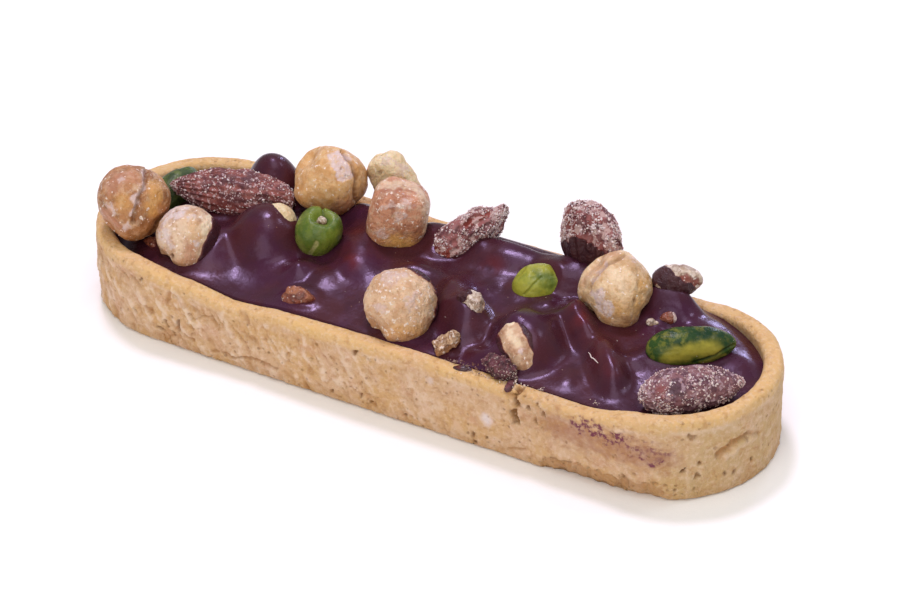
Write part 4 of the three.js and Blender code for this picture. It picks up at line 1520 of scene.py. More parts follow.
NUTS = (
    Nut(
        *("hazelnut_1", Form.HAZELNUT, (-60.9, -9.2, 22.2), (0.35, -0.83, -0.42), (14.4, 14, 14.6), 60),
        *(HAZELNUT_BROWN, "hazelnut"),
        marks=(
            tint("blush", 3.4, 0.7, (-3.6, 3.0), (-1.0, 4.4)),
            spot("blush", 1.8, 0.0, 0.7, (-5.4, -2.4), (-3.4, -5.0)),
            tint("gold", 2.2, 0.6, (4.6, 2.6), (3.8, -2.0), ragged=0.4),
            tint("gold", 2.6, 0.5, (-1.8, -0.6), ragged=0.4),
            Mark(
                "dark",
                ((2.5, 6.2), (2.6, 3.1), (1.6, 0.6), (0.6, -2.5), (0.2, -4.4)),
                *(0.7, 0.85, 0.4, 0.3, 0.1),
            ),
            Mark("scar", ((2.0, 5.8), (2.1, 3.0), (1.0, 0.6), (0.1, -2.6)), 0.8, -0.08, 0.9, 1.0, 0.4),
            Mark("scar", ((-2.6, 3.7),), 0.9, -0.05, 0.7, 0.9),
            Mark("scar", ((-4.6, -1.0), (-3.6, -2.2)), 0.8, -0.05, 0.8, 1.0),
            Mark("scar", ((-1.3, -5.3),), 1.2, 0.0, 0.8, 0.8),
            Mark("", ((-6.2, -0.4), (-4.4, -3.4), (-2.0, -6.2)), 0.5, 0.4, crisp=0.1),
            Mark("", ((-5.0, 0.0), (-3.0, -3.2)), 0.45, 0.3, crisp=0.1),
            Mark("", ((4.4, 1.0),), 2.6, -0.4, crisp=0.1),
            facet(4.6, 1.3, (-5.6, -6.0)),
            facet(4.6, 1.2, (5.8, -5.8)),
            # painted shade down the lower right side
            tint("low", 2.4, 0.7, (5.4, -1.0), (3.4, -5.0)),
        ),
    ),
    Nut(
        *("hazelnut_2", Form.HAZELNUT, (-48.2, -9.7, 18.3), (0.24, -0.9, -0.35), (12.6, 12.2, 12.8), 20),
        *(HAZELNUT_CREAM, "hazelnut"),
        marks=(
            tint("gold", 1.9, 0.35, (0.6, 2.6), (1.6, 0.0), ragged=0.6),
            tint("blush", 1.8, 0.5, (1.0, -1.4), (0.4, -4.8), ragged=0.6),
            Mark("scar", ((-4.0, 3.6), (-0.6, 4.4)), 2.0, -0.05, 0.8, 0.8, 0.4),
            peel(1.5, 0.7, (-4.6, 0.6), (-3.4, -2.0), sink=-0.05, ragged=0.9),
            Mark("scar", ((2.0, -1.8),), 1.2, -0.05, 0.9, 0.8),
            Mark("pale", ((4.0, 3.2), (3.2, 0.8)), 1.1, -0.1, 0.9, 0.5, 0.6),
            spot("dark", 0.7, 0.4, 0.8, (-3.1, -4.3), ragged=0.4),
            spot("dark", 0.5, 0.2, 0.5, (-2.2, 4.9)),
            facet(4.4, 1.4, (-5.4, -5.4)),
            # painted shade down the lower side
            tint("low", 1.6, 0.4, (1.4, -2.0), (-0.4, -5.2), ragged=0.7),
            Mark("coat", ((8.3, 5.2), (7.6, 0.9), (6.6, -2.0), (4.6, -7.6)), 3.5, -0.25, 1.0, 0.12, 0.86),
        ),
    ),
    Nut(
        *("hazelnut_3", Form.HAZELNUT, (-30, 13.3, 23.5), (0.5, -0.2, 0.85), (14, 13.8, 13.6), 0),
        *(HAZELNUT_ORANGE, "hazelnut"),
        marks=(
            tint("blush", 2.0, 0.5, (0.0, -5.4), (3.4, -4.4)),
            facet(4.0, -1.3, (-6.2, -3.4)),
            facet(5.2, 2.0, (-6.0, 5.4)),
            Mark("scar", ((1.5, 4.2), (2.8, 1.4)), 1.9, 0.15, 1.0, 0.45, 0.75),
            spot("dark", 0.35, 0.2, 0.5, (2.2, 2.2)),
            spot("dark", 0.3, 0.2, 0.5, (3.0, 1.0)),
            spot("dark", 0.35, 0.2, 0.5, (2.4, 5.0)),
            Mark("dark", ((2.2, 5.7), (4.2, 3.3), (5.1, 0.4), (4.8, -3.9)), 0.55, 0.6, 0.45, 0.2, 0.1),
            spot("dark", 0.35, 0.15, 0.7, (1.6, -3.5)),
        ),
    ),
    Nut(
        *("hazelnut_4", Form.BLOCKY, (-19.8, 20.2, 22.9), (-0.5, -0.05, 0.85), (10.2, 5.8, 12.4), 0),
        *(HAZELNUT_YELLOW, "hazelnut"),
        marks=(
            spot("dark", 0.6, 0.3, 0.6, (-2.6, 1.3)),
            tint("gold", 3.0, 0.5, (1.0, -1.0), ragged=0.6),
            facet(5.0, 1.2, (5.4, 5.8)),
            peel(1.0, 0.6, (-2.0, 4.0), (2.0, 1.6), sink=0.0),
        ),
        rough_mm=0.12,
    ),
    Nut(
        *("hazelnut_5", Form.BLOCKY, (-13, 10.4, 22.4), (0.16, 0.1, 0.98), (12.2, 12, 14), 24),
        *(HAZELNUT_ROSE, "hazelnut"),
        marks=(
            tint("gold", 2.2, 0.8, (-1.4, -5.4), (2.4, -5.0)),
            spot("pale", 1.2, 0.0, 0.55, (-4.4, 5.9), (2.8, 6.0), (5.6, 2.4), (5.4, -3.6)),
            peel(1.2, 0.7, (-1.6, 1.6), (1.8, 1.8), sink=-0.08),
            peel(0.9, 0.8, (-0.4, -1.2), (1.4, -0.6), sink=-0.08),
            peel(0.9, 0.7, (-3.4, -3.4), (-1.8, -4.0), sink=-0.08),
        ),
    ),
    Nut(
        *("hazelnut_6", Form.HAZELNUT, (0.8, -11.0, 19.4), (0.3, -0.5, -0.8), (13.9, 13.6, 14.6), 10),
        *(HAZELNUT_PALE, "hazelnut"),
        marks=(
            tint("gold", 2.4, 0.45, (-1.6, -5.2), (3.4, -5.0)),
            peel(1.5, 0.7, (-3.2, 4.6), (0.4, 5.2), ragged=1.0),
            peel(1.1, 0.7, (2.6, 2.0), (1.4, -1.0)),
            peel(1.0, 0.6, (-4.6, 0.0), (-3.4, -1.8)),
            facet(4.8, 1.6, (-6.0, -5.4)),
            Mark("", ((-6.4, 2.6),), 1.6, 0.4, crisp=0.05),
            Mark("coat", ((2.6, 8.4), (7.4, 5.8), (8.9, 1.0), (8.4, -3.6)), 2.7, -0.3, 1.0, 0.12, 0.86),
        ),
        rough_mm=0.12,
    ),
    Nut(
        *("hazelnut_7", Form.HAZELNUT, (35.4, 9.2, 22), (0.59, -0.7, -0.35), (13.8, 13.4, 14.8), 200),
        *(HAZELNUT, "hazelnut"),
        marks=(
            Mark("blush", ((-6.4, 1.2), (-4.2, 5.0), (-0.6, 6.6)), 1.7, 0.0, 0.35, 0.3, 0.2),
            tint("pale", 1.8, 0.45, (-1.4, 3.4), (0.4, 0.6), ragged=0.6),
            tint("gold", 2.2, 0.6, (5.0, 1.0), (4.0, -3.8)),
            tint("gold", 2.2, 0.5, (0.4, -3.4)),
            Mark("", ((1.6, 6.4), (3.0, 1.4), (1.6, -5.0)), 1.4, -0.4, crisp=0.05),
            Mark("", ((5.4, -1.4),), 1.8, 0.4, crisp=0.05),
            facet(5.0, 1.7, (-6.2, 5.6)),
            facet(5.0, 1.5, (-6.4, -5.6)),
            facet(4.8, 1.3, (6.8, -5.6)),
            facet(4.0, 1.0, (6.6, 6.0)),
            peel(0.6, 0.8, (-4.6, 0.9), (-3.6, 2.9), (-1.8, 4.5), sink=0.0, ragged=0.8),
            Mark("dark", ((-5.1, -0.2), (-4.2, 2.2), (-2.1, 4.4), (1.5, 5.9)), 0.5, 0.6, 0.4, 0.2, 0.1),
            Mark("scar", ((-3.7, -1.3), (-2.0, -4.4)), 1.4, 0.12, 1.0, 0.5, 0.75),
            spot("dark", 0.5, 0.2, 0.4, (-3.8, -0.9)),
            peel(1.0, 0.7, (3.2, 5.5), sink=0.0, ragged=0.7),
            spot("dark", 0.45, 0.3, 0.5, (3.1, -2.3), ragged=0.8),
        ),
    ),
    Nut(
        *("hazelnut_8", Form.HAZELNUT, (25.7, -10.1, 17), (0.5, -0.6, -0.3), (9.4, 9.2, 11.6), 0),
        *(HAZELNUT_SUNK, "hazelnut"),
        marks=(
            tint("pale", 1.2, 0.7, (-2.0, 3.2), (-0.6, 0.4), crisp=0.2),
            peel(0.9, 0.9, (0.2, -0.4), ragged=0.9, crisp=0.4),
            Mark("pale", ((-2.2, 4.2), (-1.4, 4.6)), 0.5, -0.1, 1.0, 0.8, 0.4),
            Mark("coat", ((-2.3, 3.6), (1.9, -4.6)), 2.5, 0.0, 1.0, 0.12, 0.78, outside=True),
        ),
    ),
    Nut(
        *("almond_1", Form.ALMOND, (-46.9, 4, 20.7), (-0.954, -0.295, 0.04), (9.4, 7.2, 25), 50),
        *(ALMOND, "almond"),
        marks=(
            tint("red", 1.6, 0.45, (-5.0, -2.6), (6.0, -3.0), ragged=0.6),
            tint("dark", 1.6, 0.35, (-4.0, 2.4), (3.0, 2.6), ragged=0.6),
        ),
        wrinkle_mm=0.3,
    ),
    Nut(
        *("almond_2", Form.ALMOND, (1.1, 14.1, 20.7), (0.5, 0.72, 0.44), (7.8, 6.2, 17.4), 40),
        *(ALMOND_CRUSTED, "almond"),
        marks=(
            Mark("red", ((-6.4, -3.4), (-3.4, -4.8)), 1.9, 0.0, 0.85, 0.4, 0.4),
            spot("red", 0.8, 0.15, 0.8, (-1.0, 1.6), (3.2, 3.4), crisp=0.3),
            facet(3.2, 1.3, (1.0, 6.4), (6.2, 8.4)),
            facet(3.2, 1.3, (6.0, -0.6), (9.6, 3.2)),
        ),
        uneven_mm=0.4,
        rough_mm=0.12,
        wrinkle_mm=0.5,
        wrinkles=16,
    ),
    Nut(
        *("almond_3", Form.ALMOND, (25.8, 16.9, 24.6), (-0.04, -0.1, -0.99), (13.2, 6.8, 16.4), -32),
        *(ALMOND_CRUSTED, "almond"),
        marks=(
            tint("red", 1.6, 0.5, (-3.4, 3.6), (-2.6, -1.0), ragged=0.6),
            Mark("coat", ((-6.4, -3.2), (-3.0, -0.9), (-0.6, -2.0), (3.0, -5.4)), 2.2, -0.2, 1.0, 0.35, 0.8),
        ),
        rough_mm=0.12,
        wrinkle_mm=0.55,
    ),
    Nut(
        *("almond_4", Form.ALMOND, (60.6, -8, 18.2), (0.75, 0.66, 0.02), (8.6, 7.4, 19.4), 40),
        *(ALMOND_FROSTED, "almond"),
        marks=(
            tint("red", 1.6, 0.5, (-6.0, -0.4)),
            tint("dark", 1.9, 0.75, (-3.6, 0.2), (-2.2, -0.6), crisp=0.2),
        ),
        wrinkle_mm=0.2,
    ),
    Nut(
        *("pistachio_1", Form.PISTACHIO, (-60.3, 3, 18.2), (0.3, 0.85, 0.3), (7.2, 6.6, 12), 0),
        *(PISTACHIO_OLIVE, "pistachio"),
        rough_mm=0.02,
    ),
    Nut(
        *("pistachio_2", Form.DIMPLED, (-25.4, 0.9, 19.5), (0.32, -0.1, 0.94), (9, 8.6, 12.8), 0),
        *(PISTACHIO_GREEN, "pistachio"),
        marks=(
            tint("pale", 1.4, 0.5, (-3.6, -1.0), (-2.4, -3.4), ragged=0.4),
            tint("dark", 1.5, 0.65, (1.3, 2.7), ragged=0.2),
            Mark("dark", ((1.0, 5.4), (1.3, 3.6)), 0.5, 0.4, 0.5, 0.2, 0.1),
            Mark("scar", ((-1.4, -3.6), (0.0, -1.6)), 0.55, 0.12, 0.9, 0.3, 0.5),
            facet(4.0, 1.1, (4.6, -4.6), ragged=0.05),
            facet(3.2, 0.9, (-5.0, -4.4), ragged=0.05),
        ),
        uneven_mm=0.2,
        rough_mm=0.02,
    ),
    Nut(
        *("pistachio_3", Form.PISTACHIO, (19.7, 7.7, 18.6), (0.68, 0.73, 0.05), (8.8, 7.4, 10.4), 20),
        *(PISTACHIO_BRIGHT, "pistachio"),
        marks=(
            tint("pale", 1.5, 0.5, (-3.4, -0.4), (-0.6, -2.8), ragged=0.4),
            Mark("dark", ((0.0, 2.0), (2.2, 0.8)), 2.3, 0.3, 0.8, 0.4, 0.1),
            Mark("", ((-0.6, 3.4),), 2.0, 0.25, crisp=0.05),
            facet(2.8, 0.7, (4.2, 3.2), ragged=0.05),
            facet(2.8, 0.8, (-4.2, 3.0), ragged=0.05),
            Mark("dark", ((-2.9, -1.9), (-1.2, -0.1), (0.4, 1.5)), 0.3, 0.3, 0.25, 0.3, 0.1),
            spot("dark", 0.3, 0.2, 0.9, (-2.6, -3.0), (-1.8, -2.7)),
        ),
        uneven_mm=0.2,
        rough_mm=0.02,
    ),
    Nut(
        *("pistachio_4", Form.PISTACHIO, (54.3, 3.2, 18.7), (0.79, 0.61, 0), (8.2, 7, 17), 30),
        *(PISTACHIO_DARK, "pistachio"),
        marks=(
            Mark("pale", ((-4.2, -1.8), (0.0, -0.9), (4.0, -0.3)), 2.3, 0.0, 0.95, 0.3, 0.0),
            tint("dark", 1.6, 0.6, (-0.4, 2.8), (4.6, 1.6), (7.0, 0.8), ragged=0.3),
            Mark("dark", ((0.6, -2.8), (4.4, -1.7), (8.0, 0.4)), 0.35, 0.35, 0.5, 0.3, 0.1),
            tint("pale", 0.5, 0.5, (2.0, -3.0), (6.4, -1.4), ragged=0.4),
        ),
        uneven_mm=0.16,
        rough_mm=0.015,
    ),
    Nut(
        *("chip_1", Form.FACETS, (-20.2, -13.9, 15.5), (0.9, 0.1, -0.35), (5, 4.6, 7.2), 0),
        *(CHIP_RED, "nut_chip"),
        marks=(Mark("pale", ((-2.0, 1.2), (0.4, 1.6), (2.2, 0.4)), 0.7, -0.15, 0.6, 1.2, 0.3),),
        rough_mm=0.12,
    ),
    Nut(
        *("chip_2", Form.FACETS, (12.9, -5.8, 20.3), (0.9, 0.3, -0.2), (4.4, 4, 5.2), 0),
        *(CHIP_PALE, "nut_chip"),
        marks=(Mark("coat", ((-2.6, 0.6), (-1.4, 2.0)), 1.4, -0.2, 1.0, 0.4, 0.8),),
        rough_mm=0.25,
    ),
    Nut(
        *("chip_3", Form.HAZELNUT, (44.9, 15.8, 22.7), (0.86, 0.51, -0.05), (6, 5.6, 9.6), 0),
        *(CHIP_PALE, "nut_chip"),
        marks=(
            spot("red", 1.4, 0.2, 0.9, (0.8, 0.4), (2.4, -0.2), (4.0, -1.2), crisp=0.3),
            Mark("coat", ((-5.6, 1.4), (-2.6, 1.0), (-0.4, -1.6), (3.4, -3.4)), 2.0, -0.15, 1.0, 0.3, 0.82),
        ),
        rough_mm=0.12,
    ),
    Nut(
        *("chip_4", Form.FACETS, (-56.2, -10.8, 14.3), (0.9, -0.1, 0.3), (3.4, 3.2, 5.4), 0),
        *(CHIP_RED, "nut_chip"),
        rough_mm=0.1,
    ),
    Nut(
        *("chip_5", Form.FACETS, (12.9, -15.3, 17.2), (0.7, 0.5, 0.5), (3.2, 4.6, 6.4), 0),
        *(CHIP_TAN, "nut_chip"),
        uneven_mm=0.9,
        rough_mm=0.5,
    ),
    Nut(
        *("chip_6", Form.FACETS, (46.4, 9.8, 18.5), (0.8, 0.6, 0.1), (2.8, 2.6, 3.6), 0),
        *(CHIP_RED, "nut_chip"),
        marks=(peel(0.5, 1.0, (1.0, 0.8), (1.1, -0.6), ragged=0.4, crisp=0.6),),
        rough_mm=0.12,
    ),
)

EXTRAS = (
    Nut(
        *("dome_nut", Form.HAZELNUT, (-34.9, 0.5, 18.2), (0.3, 0.4, 0.86), (9.4, 9.2, 9.4), 0),
        *(HAZELNUT_YELLOW, "hazelnut"),
        solid=False,
    ),
    Nut(
        *("dimple_stub", Form.FACETS, (-23.9, 0.2, 23.4), (0.3, -0.2, 0.92), (1.7, 1.3, 2.8), 0),
        *(CHIP_PALE, "pistachio"),
        rough_mm=0.1,
        rings=40,
        around=50,
        solid=False,
    ),
    Nut(
        *("crumb_mass", Form.FACETS, (25.6, -17.1, 16.6), (0.98, -0.1, -0.12), (4.6, 4.6, 8.6), 0),
        *(CRUMB_DARK, "chocolate"),
        uneven_mm=0.7,
        rough_mm=0.55,
        solid=False,
    ),
    Nut(
        *("rim_drip", Form.HAZELNUT, (28.9, -18.9, 15.5), (0.15, -0.98, -0.1), (1.6, 1.1, 3.8), 0),
        *(CRUMB_DARK, "chocolate"),
        rings=40,
        around=50,
        rough_mm=0.12,
        solid=False,
    ),
    Nut(
        *("rim_blob", Form.HAZELNUT, (18.4, -19.1, 15.4), (0.95, 0.2, 0.05), (1.3, 1.8, 3.8), 0),
        *(CHIP_RED, "chocolate"),
        marks=(Mark("coat", ((-3.0, 0.0), (3.0, 0.0)), 1.6, 0.0, 0.8, 0.4, 0.2),),
        rings=40,
        around=60,
        rough_mm=0.04,
        solid=False,
    ),
    Nut(
        *("skin_flake", Form.FACETS, (44.1, 6.9, 18.4), (0.8, 0.6, 0.0), (1.1, 0.6, 2.2), 0),
        *(CHIP_PALE, "nut_chip"),
        rings=40,
        around=50,
        rough_mm=0.25,
        solid=False,
    ),
)


@dataclass(frozen=True)
class CrumbFinish(Finish):
    """Salt and crumbs: each grain has its own tone between two colours."""

    first: tuple = ink(242, 226, 222)
    second: tuple = ink(176, 130, 132)

    def colour(self, bench: Bench) -> Feed:
        """Each grain's tone, a touch uneven."""
        cloud = bench.clouds(0.8, 0.3, 0.7)
        tone = bench.math("ADD", bench.painted("tone"), bench.math("MULTIPLY", cloud, 0.2))
        return bench.blend(tone, self.first, self.second)


@dataclass(frozen=True)
class Sprinkle:
    """Grains that stick to the surfaces of some nuts, denser in patches."""

    name: str
    slot: str
    finish: Finish
    counts: tuple[tuple[str, int], ...]
    half_mm: tuple[float, float]
    flat: float = 0.6
    clump_mm: float = 2.0
    seed: int = 21

    def build(self) -> bpy.types.Object:
        """Makes all the grains as one piece."""
        rng = np.random.default_rng(self.seed)
        wanted = dict(self.counts)
        bodies = []
        for nut in NUTS:
            if nut.name not in wanted:
                continue
            count = wanted[nut.name]
            points, normal, masks = nut.surface()
            ring = np.sin(np.linspace(np.pi, 0, nut.rings + 2)[1:-1])[:, None]
            dense = smoothstep(-0.45, 0.45, NOISE(points + 7, self.clump_mm)) + 0.06
            bare = np.maximum(masks["coat"], 0.8 * masks["red"])
            weight = (ring * dense * (1 - bare)).ravel()
            pick = rng.choice(weight.size, count, p=weight / weight.sum())
            outward = normal.reshape(-1, 3)[pick]
            jitter = rng.normal(size=(count, 3)) * 0.08
            low, high = self.half_mm
            half = (low + (high - low) * rng.random((count, 1)) ** 1.6) * [1.0, 0.6, self.flat]
            place = points.reshape(-1, 3)[pick] + jitter
            lean = unit(outward + rng.normal(size=(count, 3)) * 0.35)
            body = Shape.grains(place, lean, half, rng)
            body.masks["tone"] = np.repeat(rng.random(count) ** 1.5, 6)
            bodies.append(body)
        return serve(Shape.joined(bodies), self.name, self.finish, smooth=False)


ALMOND_SALT = Sprinkle(
    *("almond_salt", "almond"),
    CrumbFinish("salt", roughness=0.5, bump_mm=0.03, scatter=0.2),
    (("almond_1", 1200), ("almond_2", 2500), ("almond_3", 3300), ("almond_4", 2300)),
    (0.12, 0.52),
)
NUT_CRUMBS = Sprinkle(
    *("nut_crumbs", "hazelnut"),
    CrumbFinish(
        "nut_crumb", roughness=0.6, bump_mm=0.03, first=ink(246, 232, 220), second=ink(214, 178, 150)
    ),
    (
        *(("hazelnut_1", 90), ("hazelnut_2", 60), ("hazelnut_3", 40), ("hazelnut_4", 30)),
        *(("hazelnut_5", 110), ("hazelnut_6", 90), ("hazelnut_7", 40), ("chip_1", 40)),
        *(("chip_2", 30), ("chip_3", 50), ("chip_5", 60), ("pistachio_4", 14)),
    ),
    (0.05, 0.17),
    0.5,
    3.0,
    22,
)


# ---- chocolate -----------------------------------------------------------------------------------


@dataclass(frozen=True)
class ChocolateFinish(Finish):
    """Set chocolate: dark and glossy, redder and lighter where it lies thin over a nut."""

    dark: tuple = CHOCOLATE_DARK
    warm: tuple = CHOCOLATE_WARM
    thin: tuple = CHOCOLATE_THIN
    plum: tuple = ink(66, 28, 54)

    def colour(self, bench: Bench) -> Feed:
        """Dark and warm clouds, plum in patches, and red where it is thin."""
        layers = (
            (bench.clouds(9.0, 0.38, 0.62), 1.0, self.warm),
            (bench.clouds(14.0, 0.45, 0.62), 0.6, self.plum),
            (bench.painted("thin"), 1.0, self.thin),
        )
        return bench.layered(self.dark, layers)

    def relief(self, bench: Bench) -> Socket:
        """A faintly grainy skin."""
        return bench.clouds(1.4, 0.2, 0.8)


@dataclass(frozen=True)
class Lump:
    """A coated nut that shows as a rounded dome: place, height, reaches and the long one's turn."""

    x: float
    y: float
    high: float
    long: float
    wide: float
    turn: float = 0.0
    thin: float = 0.0  # how much of the nut's skin shows through

    def share(self, x: Array, y: Array) -> Array:
        """0 in the middle and 1 at the reach, by the ellipse of the two reaches."""
        a = np.radians(self.turn)
        along = (x - self.x) * np.cos(a) + (y - self.y) * np.sin(a)
        across = (y - self.y) * np.cos(a) - (x - self.x) * np.sin(a)
        return np.hypot(along / self.long, across / self.wide)

    def height(self, x: Array, y: Array, fillet: float) -> Array:
        """The dome, high * (1 - share^2.4), with a fillet where it meets the bed."""
        return soft_max(np.maximum(self.high * (1 - self.share(x, y) ** 2.4), -6), 0.0, fillet)


@dataclass(frozen=True)
class Rope:
    """A flowing ridge, or a crease where it is negative, along a line seen from above."""

    path: tuple[tuple[float, float], ...]
    high: float
    wide: float

    def height(self, x: Array, y: Array) -> Array:
        """A bell across the line."""
        gap = distance_to_path(np.stack([x, y], axis=-1), np.array(self.path))
        return self.high * bell(gap / self.wide)


@dataclass
class ChocolateGlaze:
    """The chocolate: a crowned bed with domes over the nuts in it, ropes and fillets."""

    half_straight: float = 51.5
    radius: float = 17.45
    bed: float = 15.0
    crown: float = 2.8
    far_fall: float = 1.2
    end_drop: float = 2.6
    columns: int = 550
    rows: int = 170
    under_z: float = 5.0
    pebble_count: int = 42
    lumps: tuple[Lump, ...] = (
        Lump(-36.0, -1.6, 6.1, 7.8, 7.2),
        Lump(-42.2, 12.0, 9.4, 7.0, 6.6),
        Lump(-20.0, 13.4, 3.2, 7.0, 5.6),
        Lump(-17.4, 3.4, 2.2, 7.6, 4.4, -55, thin=0.35),
        Lump(-5.4, 8.8, 1.2, 3.6, 3.2),
        Lump(-4.4, 14.2, 3.8, 7.0, 5.4),
        Lump(-42.8, -8.6, 1.9, 6.4, 4.4, -80),
        Lump(8.2, -3.6, 3.0, 6.4, 4.0, -62),
        Lump(12.8, -7.4, 3.6, 6.6, 4.6, -55),
        Lump(11.0, 14.6, 4.4, 11.0, 7.0, 6),
        Lump(26.0, -8.0, 5.4, 8.4, 7.2, -40),
        Lump(32.0, 0.8, 3.4, 8.0, 3.0, -45, thin=0.7),
        Lump(42.6, -7.2, 3.6, 8.4, 3.2, -48, thin=0.7),
        Lump(44.4, 14.2, 5.4, 7.0, 6.0),
        Lump(23.8, 13.6, 5.0, 9.0, 6.4),
        Lump(22.8, -15.2, 2.2, 5.0, 2.8, -10),
        Lump(54.0, 12.0, 1.6, 9.0, 5.0),
        Lump(63.0, 6.4, 1.0, 4.0, 3.4),
        Lump(-15.5, -2.4, 1.5, 3.2, 2.6, -30, thin=0.7),
        Lump(9.5, 8.1, 0.8, 4.0, 3.0, 0, thin=0.5),
    )
    ropes: tuple[Rope, ...] = (
        Rope(((-5.8, 1.0), (-1.0, 2.2), (3.5, 1.0), (6.1, -2.8), (7.5, -7.5)), 1.0, 2.0),
        Rope(((10.0, -3.2), (12.5, -8.5), (14.3, -15.4)), 0.6, 1.8),
        Rope(((24.0, 3.0), (28.2, -0.2), (31.0, -4.0)), 0.6, 1.8),
        Rope(((25.5, 6.0), (29.2, 0.0), (32.0, -5.0)), -0.7, 1.1),
        Rope(((-26.5, -3.4), (-22.5, -2.0)), -1.5, 1.9),
        Rope(((46.8, 9.2), (48.0, 7.4)), -1.6, 1.7),
    )

    @property
    def pebbles(self) -> tuple[Lump, ...]:
        """Small bumps of chopped nut under the skin, scattered over the bed."""
        rng = np.random.default_rng(17)
        places = rng.uniform((-26, -13.5), (60, 12), (self.pebble_count, 2))
        high = rng.uniform(0.25, 0.85, self.pebble_count)
        reach = rng.uniform(1.7, 3.4, (self.pebble_count, 2))
        turn = rng.uniform(0, 180, self.pebble_count)
        return tuple(Lump(*p, h, *r, t) for p, h, r, t in zip(places, high, reach, turn))

    def spill(self, x: Array) -> Array:
        """How far the chocolate laps over the far rim."""
        return 2.4 * smoothstep(-6, 2, x) * smoothstep(38, 31, x)

    def poured(self, x: Array, y: Array) -> Array:
        """The bed with its domes and ropes, before the chocolate evens them out."""
        crown = self.crown * smoothstep(-17.5, 4, y) - self.far_fall * smoothstep(8, 17.5, y)
        ends = self.end_drop * smoothstep(48, 66, np.abs(x))
        edge = 17.5 - np.hypot(np.maximum(0, np.abs(x) - self.half_straight), y)
        slump = 1.3 * bell((x + 32) / 7) * smoothstep(-6, -15, y)
        domes = np.sqrt(sum(lump.height(x, y, 0.9) ** 2 for lump in self.lumps))
        domes = domes + sum(pebble.height(x, y, 0.1) for pebble in self.pebbles)
        ropes = sum(rope.height(x, y) for rope in self.ropes)
        z = self.bed + crown - ends - slump + (domes + ropes) * smoothstep(0, 2.5, edge)
        place = np.stack([x, y, 0 * x], axis=-1)
        return z + (0.22 * NOISE(place, 8.0) + 0.1 * NOISE(place, 3.5)) * smoothstep(0, 2, edge)

    def height(self, x: Array, y: Array) -> Array:
        """Height of the chocolate: the poured bed, evened out, with a rise against each nut."""
        edge = 17.5 - np.hypot(np.maximum(0, np.abs(x) - self.half_straight), y)
        turns = np.arange(6) * np.pi / 3
        z = 2 * self.poured(x, y)
        for reach in (0.8, 1.5):
            for turn in turns + reach:
                z = z + self.poured(x + reach * np.cos(turn), y + reach * np.sin(turn))
        z = z / (2 + 2 * len(turns))
        for nut in NUTS:
            gap = nut.gap(np.stack([x, y, z], axis=-1))
            z = z + 0.45 * bell(np.maximum(gap, 0) / 1.4) * smoothstep(0, 2, edge)
            z = z - 1.6 * smoothstep(-0.7, -2.6, gap)
        return z

    def build(self) -> bpy.types.Object:
        """Makes the chocolate as one lid that fills the case."""
        t = np.linspace(-1, 1, self.rows)[:, None]
        s = np.linspace(-1, 1, self.columns)[None, :]
        y = self.radius * np.sin(np.pi / 2 * t) + 0 * s
        x = s * (self.half_straight + np.sqrt(np.maximum(self.radius**2 - y**2, 0)))
        z = self.height(x, y)
        lap = self.spill(x) * smoothstep(0.8, 1.0, t)
        film = 17.1 + 0.9 * np.sqrt(np.clip(1 - (lap / 2.5) ** 2, 0, 1))
        z = np.where(lap > 0.05, soft_max(z, film, 0.5), z)
        y = y + lap
        thin = np.zeros_like(x)
        for lump in self.lumps:
            if lump.thin:
                thin = np.maximum(thin, lump.thin * smoothstep(1.0, 0.1, lump.share(x, y)))
        masks = {"thin": thin * smoothstep(-0.7, 0.4, NOISE(np.stack([x, y, z], axis=-1), 3.0))}
        skirt = ((0.0, 12.0), (0.0, self.under_z + 1.0), (1.5, self.under_z))
        return serve(
            Shape.lid(np.stack([x, y, z], axis=-1), skirt, masks),
            "chocolate_flow",
            ChocolateFinish(
                "poured_chocolate",
                roughness=0.27,
                bump_mm=0.03,
                specular=0.36,
                shine=(0.82, 0.64, 1.0, 1.0),
            ),
            ["chocolate_glaze"],
        )

    def fibre(self) -> bpy.types.Object:
        """Makes the white fibre that lies on the chocolate, and the specks round it."""
        share = np.linspace(0, 1, 24)
        x = np.interp(share, [0, 0.35, 1], [37.9, 39.3, 41.7]) + 0.15 * np.sin(9 * share)
        y = np.interp(share, [0, 0.35, 1], [-6.1, -7.3, -9.2]) + 0.1 * np.cos(11 * share)
        path = np.stack([x, y, self.height(x, y) + 0.06], axis=-1)
        strand = Shape.strand(path, 0.11)
        strand.masks["tone"] = np.full(len(strand.points), 0.1)
        rng = np.random.default_rng(31)
        spots = np.array([(35.4, -11.3), (36.6, -16.1), (45.7, -14.7), (15.0, -8.9), (18.7, -12.7)])
        spread = np.concatenate([spots, rng.uniform((-60, -13), (60, 12), (60, 2))])
        near = spread.T
        gap = np.min([nut.gap(np.stack([*near, self.height(*near)], axis=-1)) for nut in NUTS], axis=0)
        spread = spread[gap > 0.6]
        place = np.column_stack([spread, self.height(*spread.T) + 0.04])
        half = rng.uniform(0.06, 0.16, (len(place), 1)) * [1.0, 0.7, 0.5]
        specks = Shape.grains(place, np.tile([0.0, 0.0, 1.0], (len(place), 1)), half, rng)
        specks.masks["tone"] = np.repeat(rng.random(len(place)), 6)
        colours = {"first": ink(238, 228, 224), "second": ink(190, 140, 116)}
        finish = CrumbFinish("pale_crumb", roughness=0.6, bump_mm=0.02, **colours)
        return serve(Shape.joined([strand, specks]), "fibre_and_specks", finish, smooth=False)


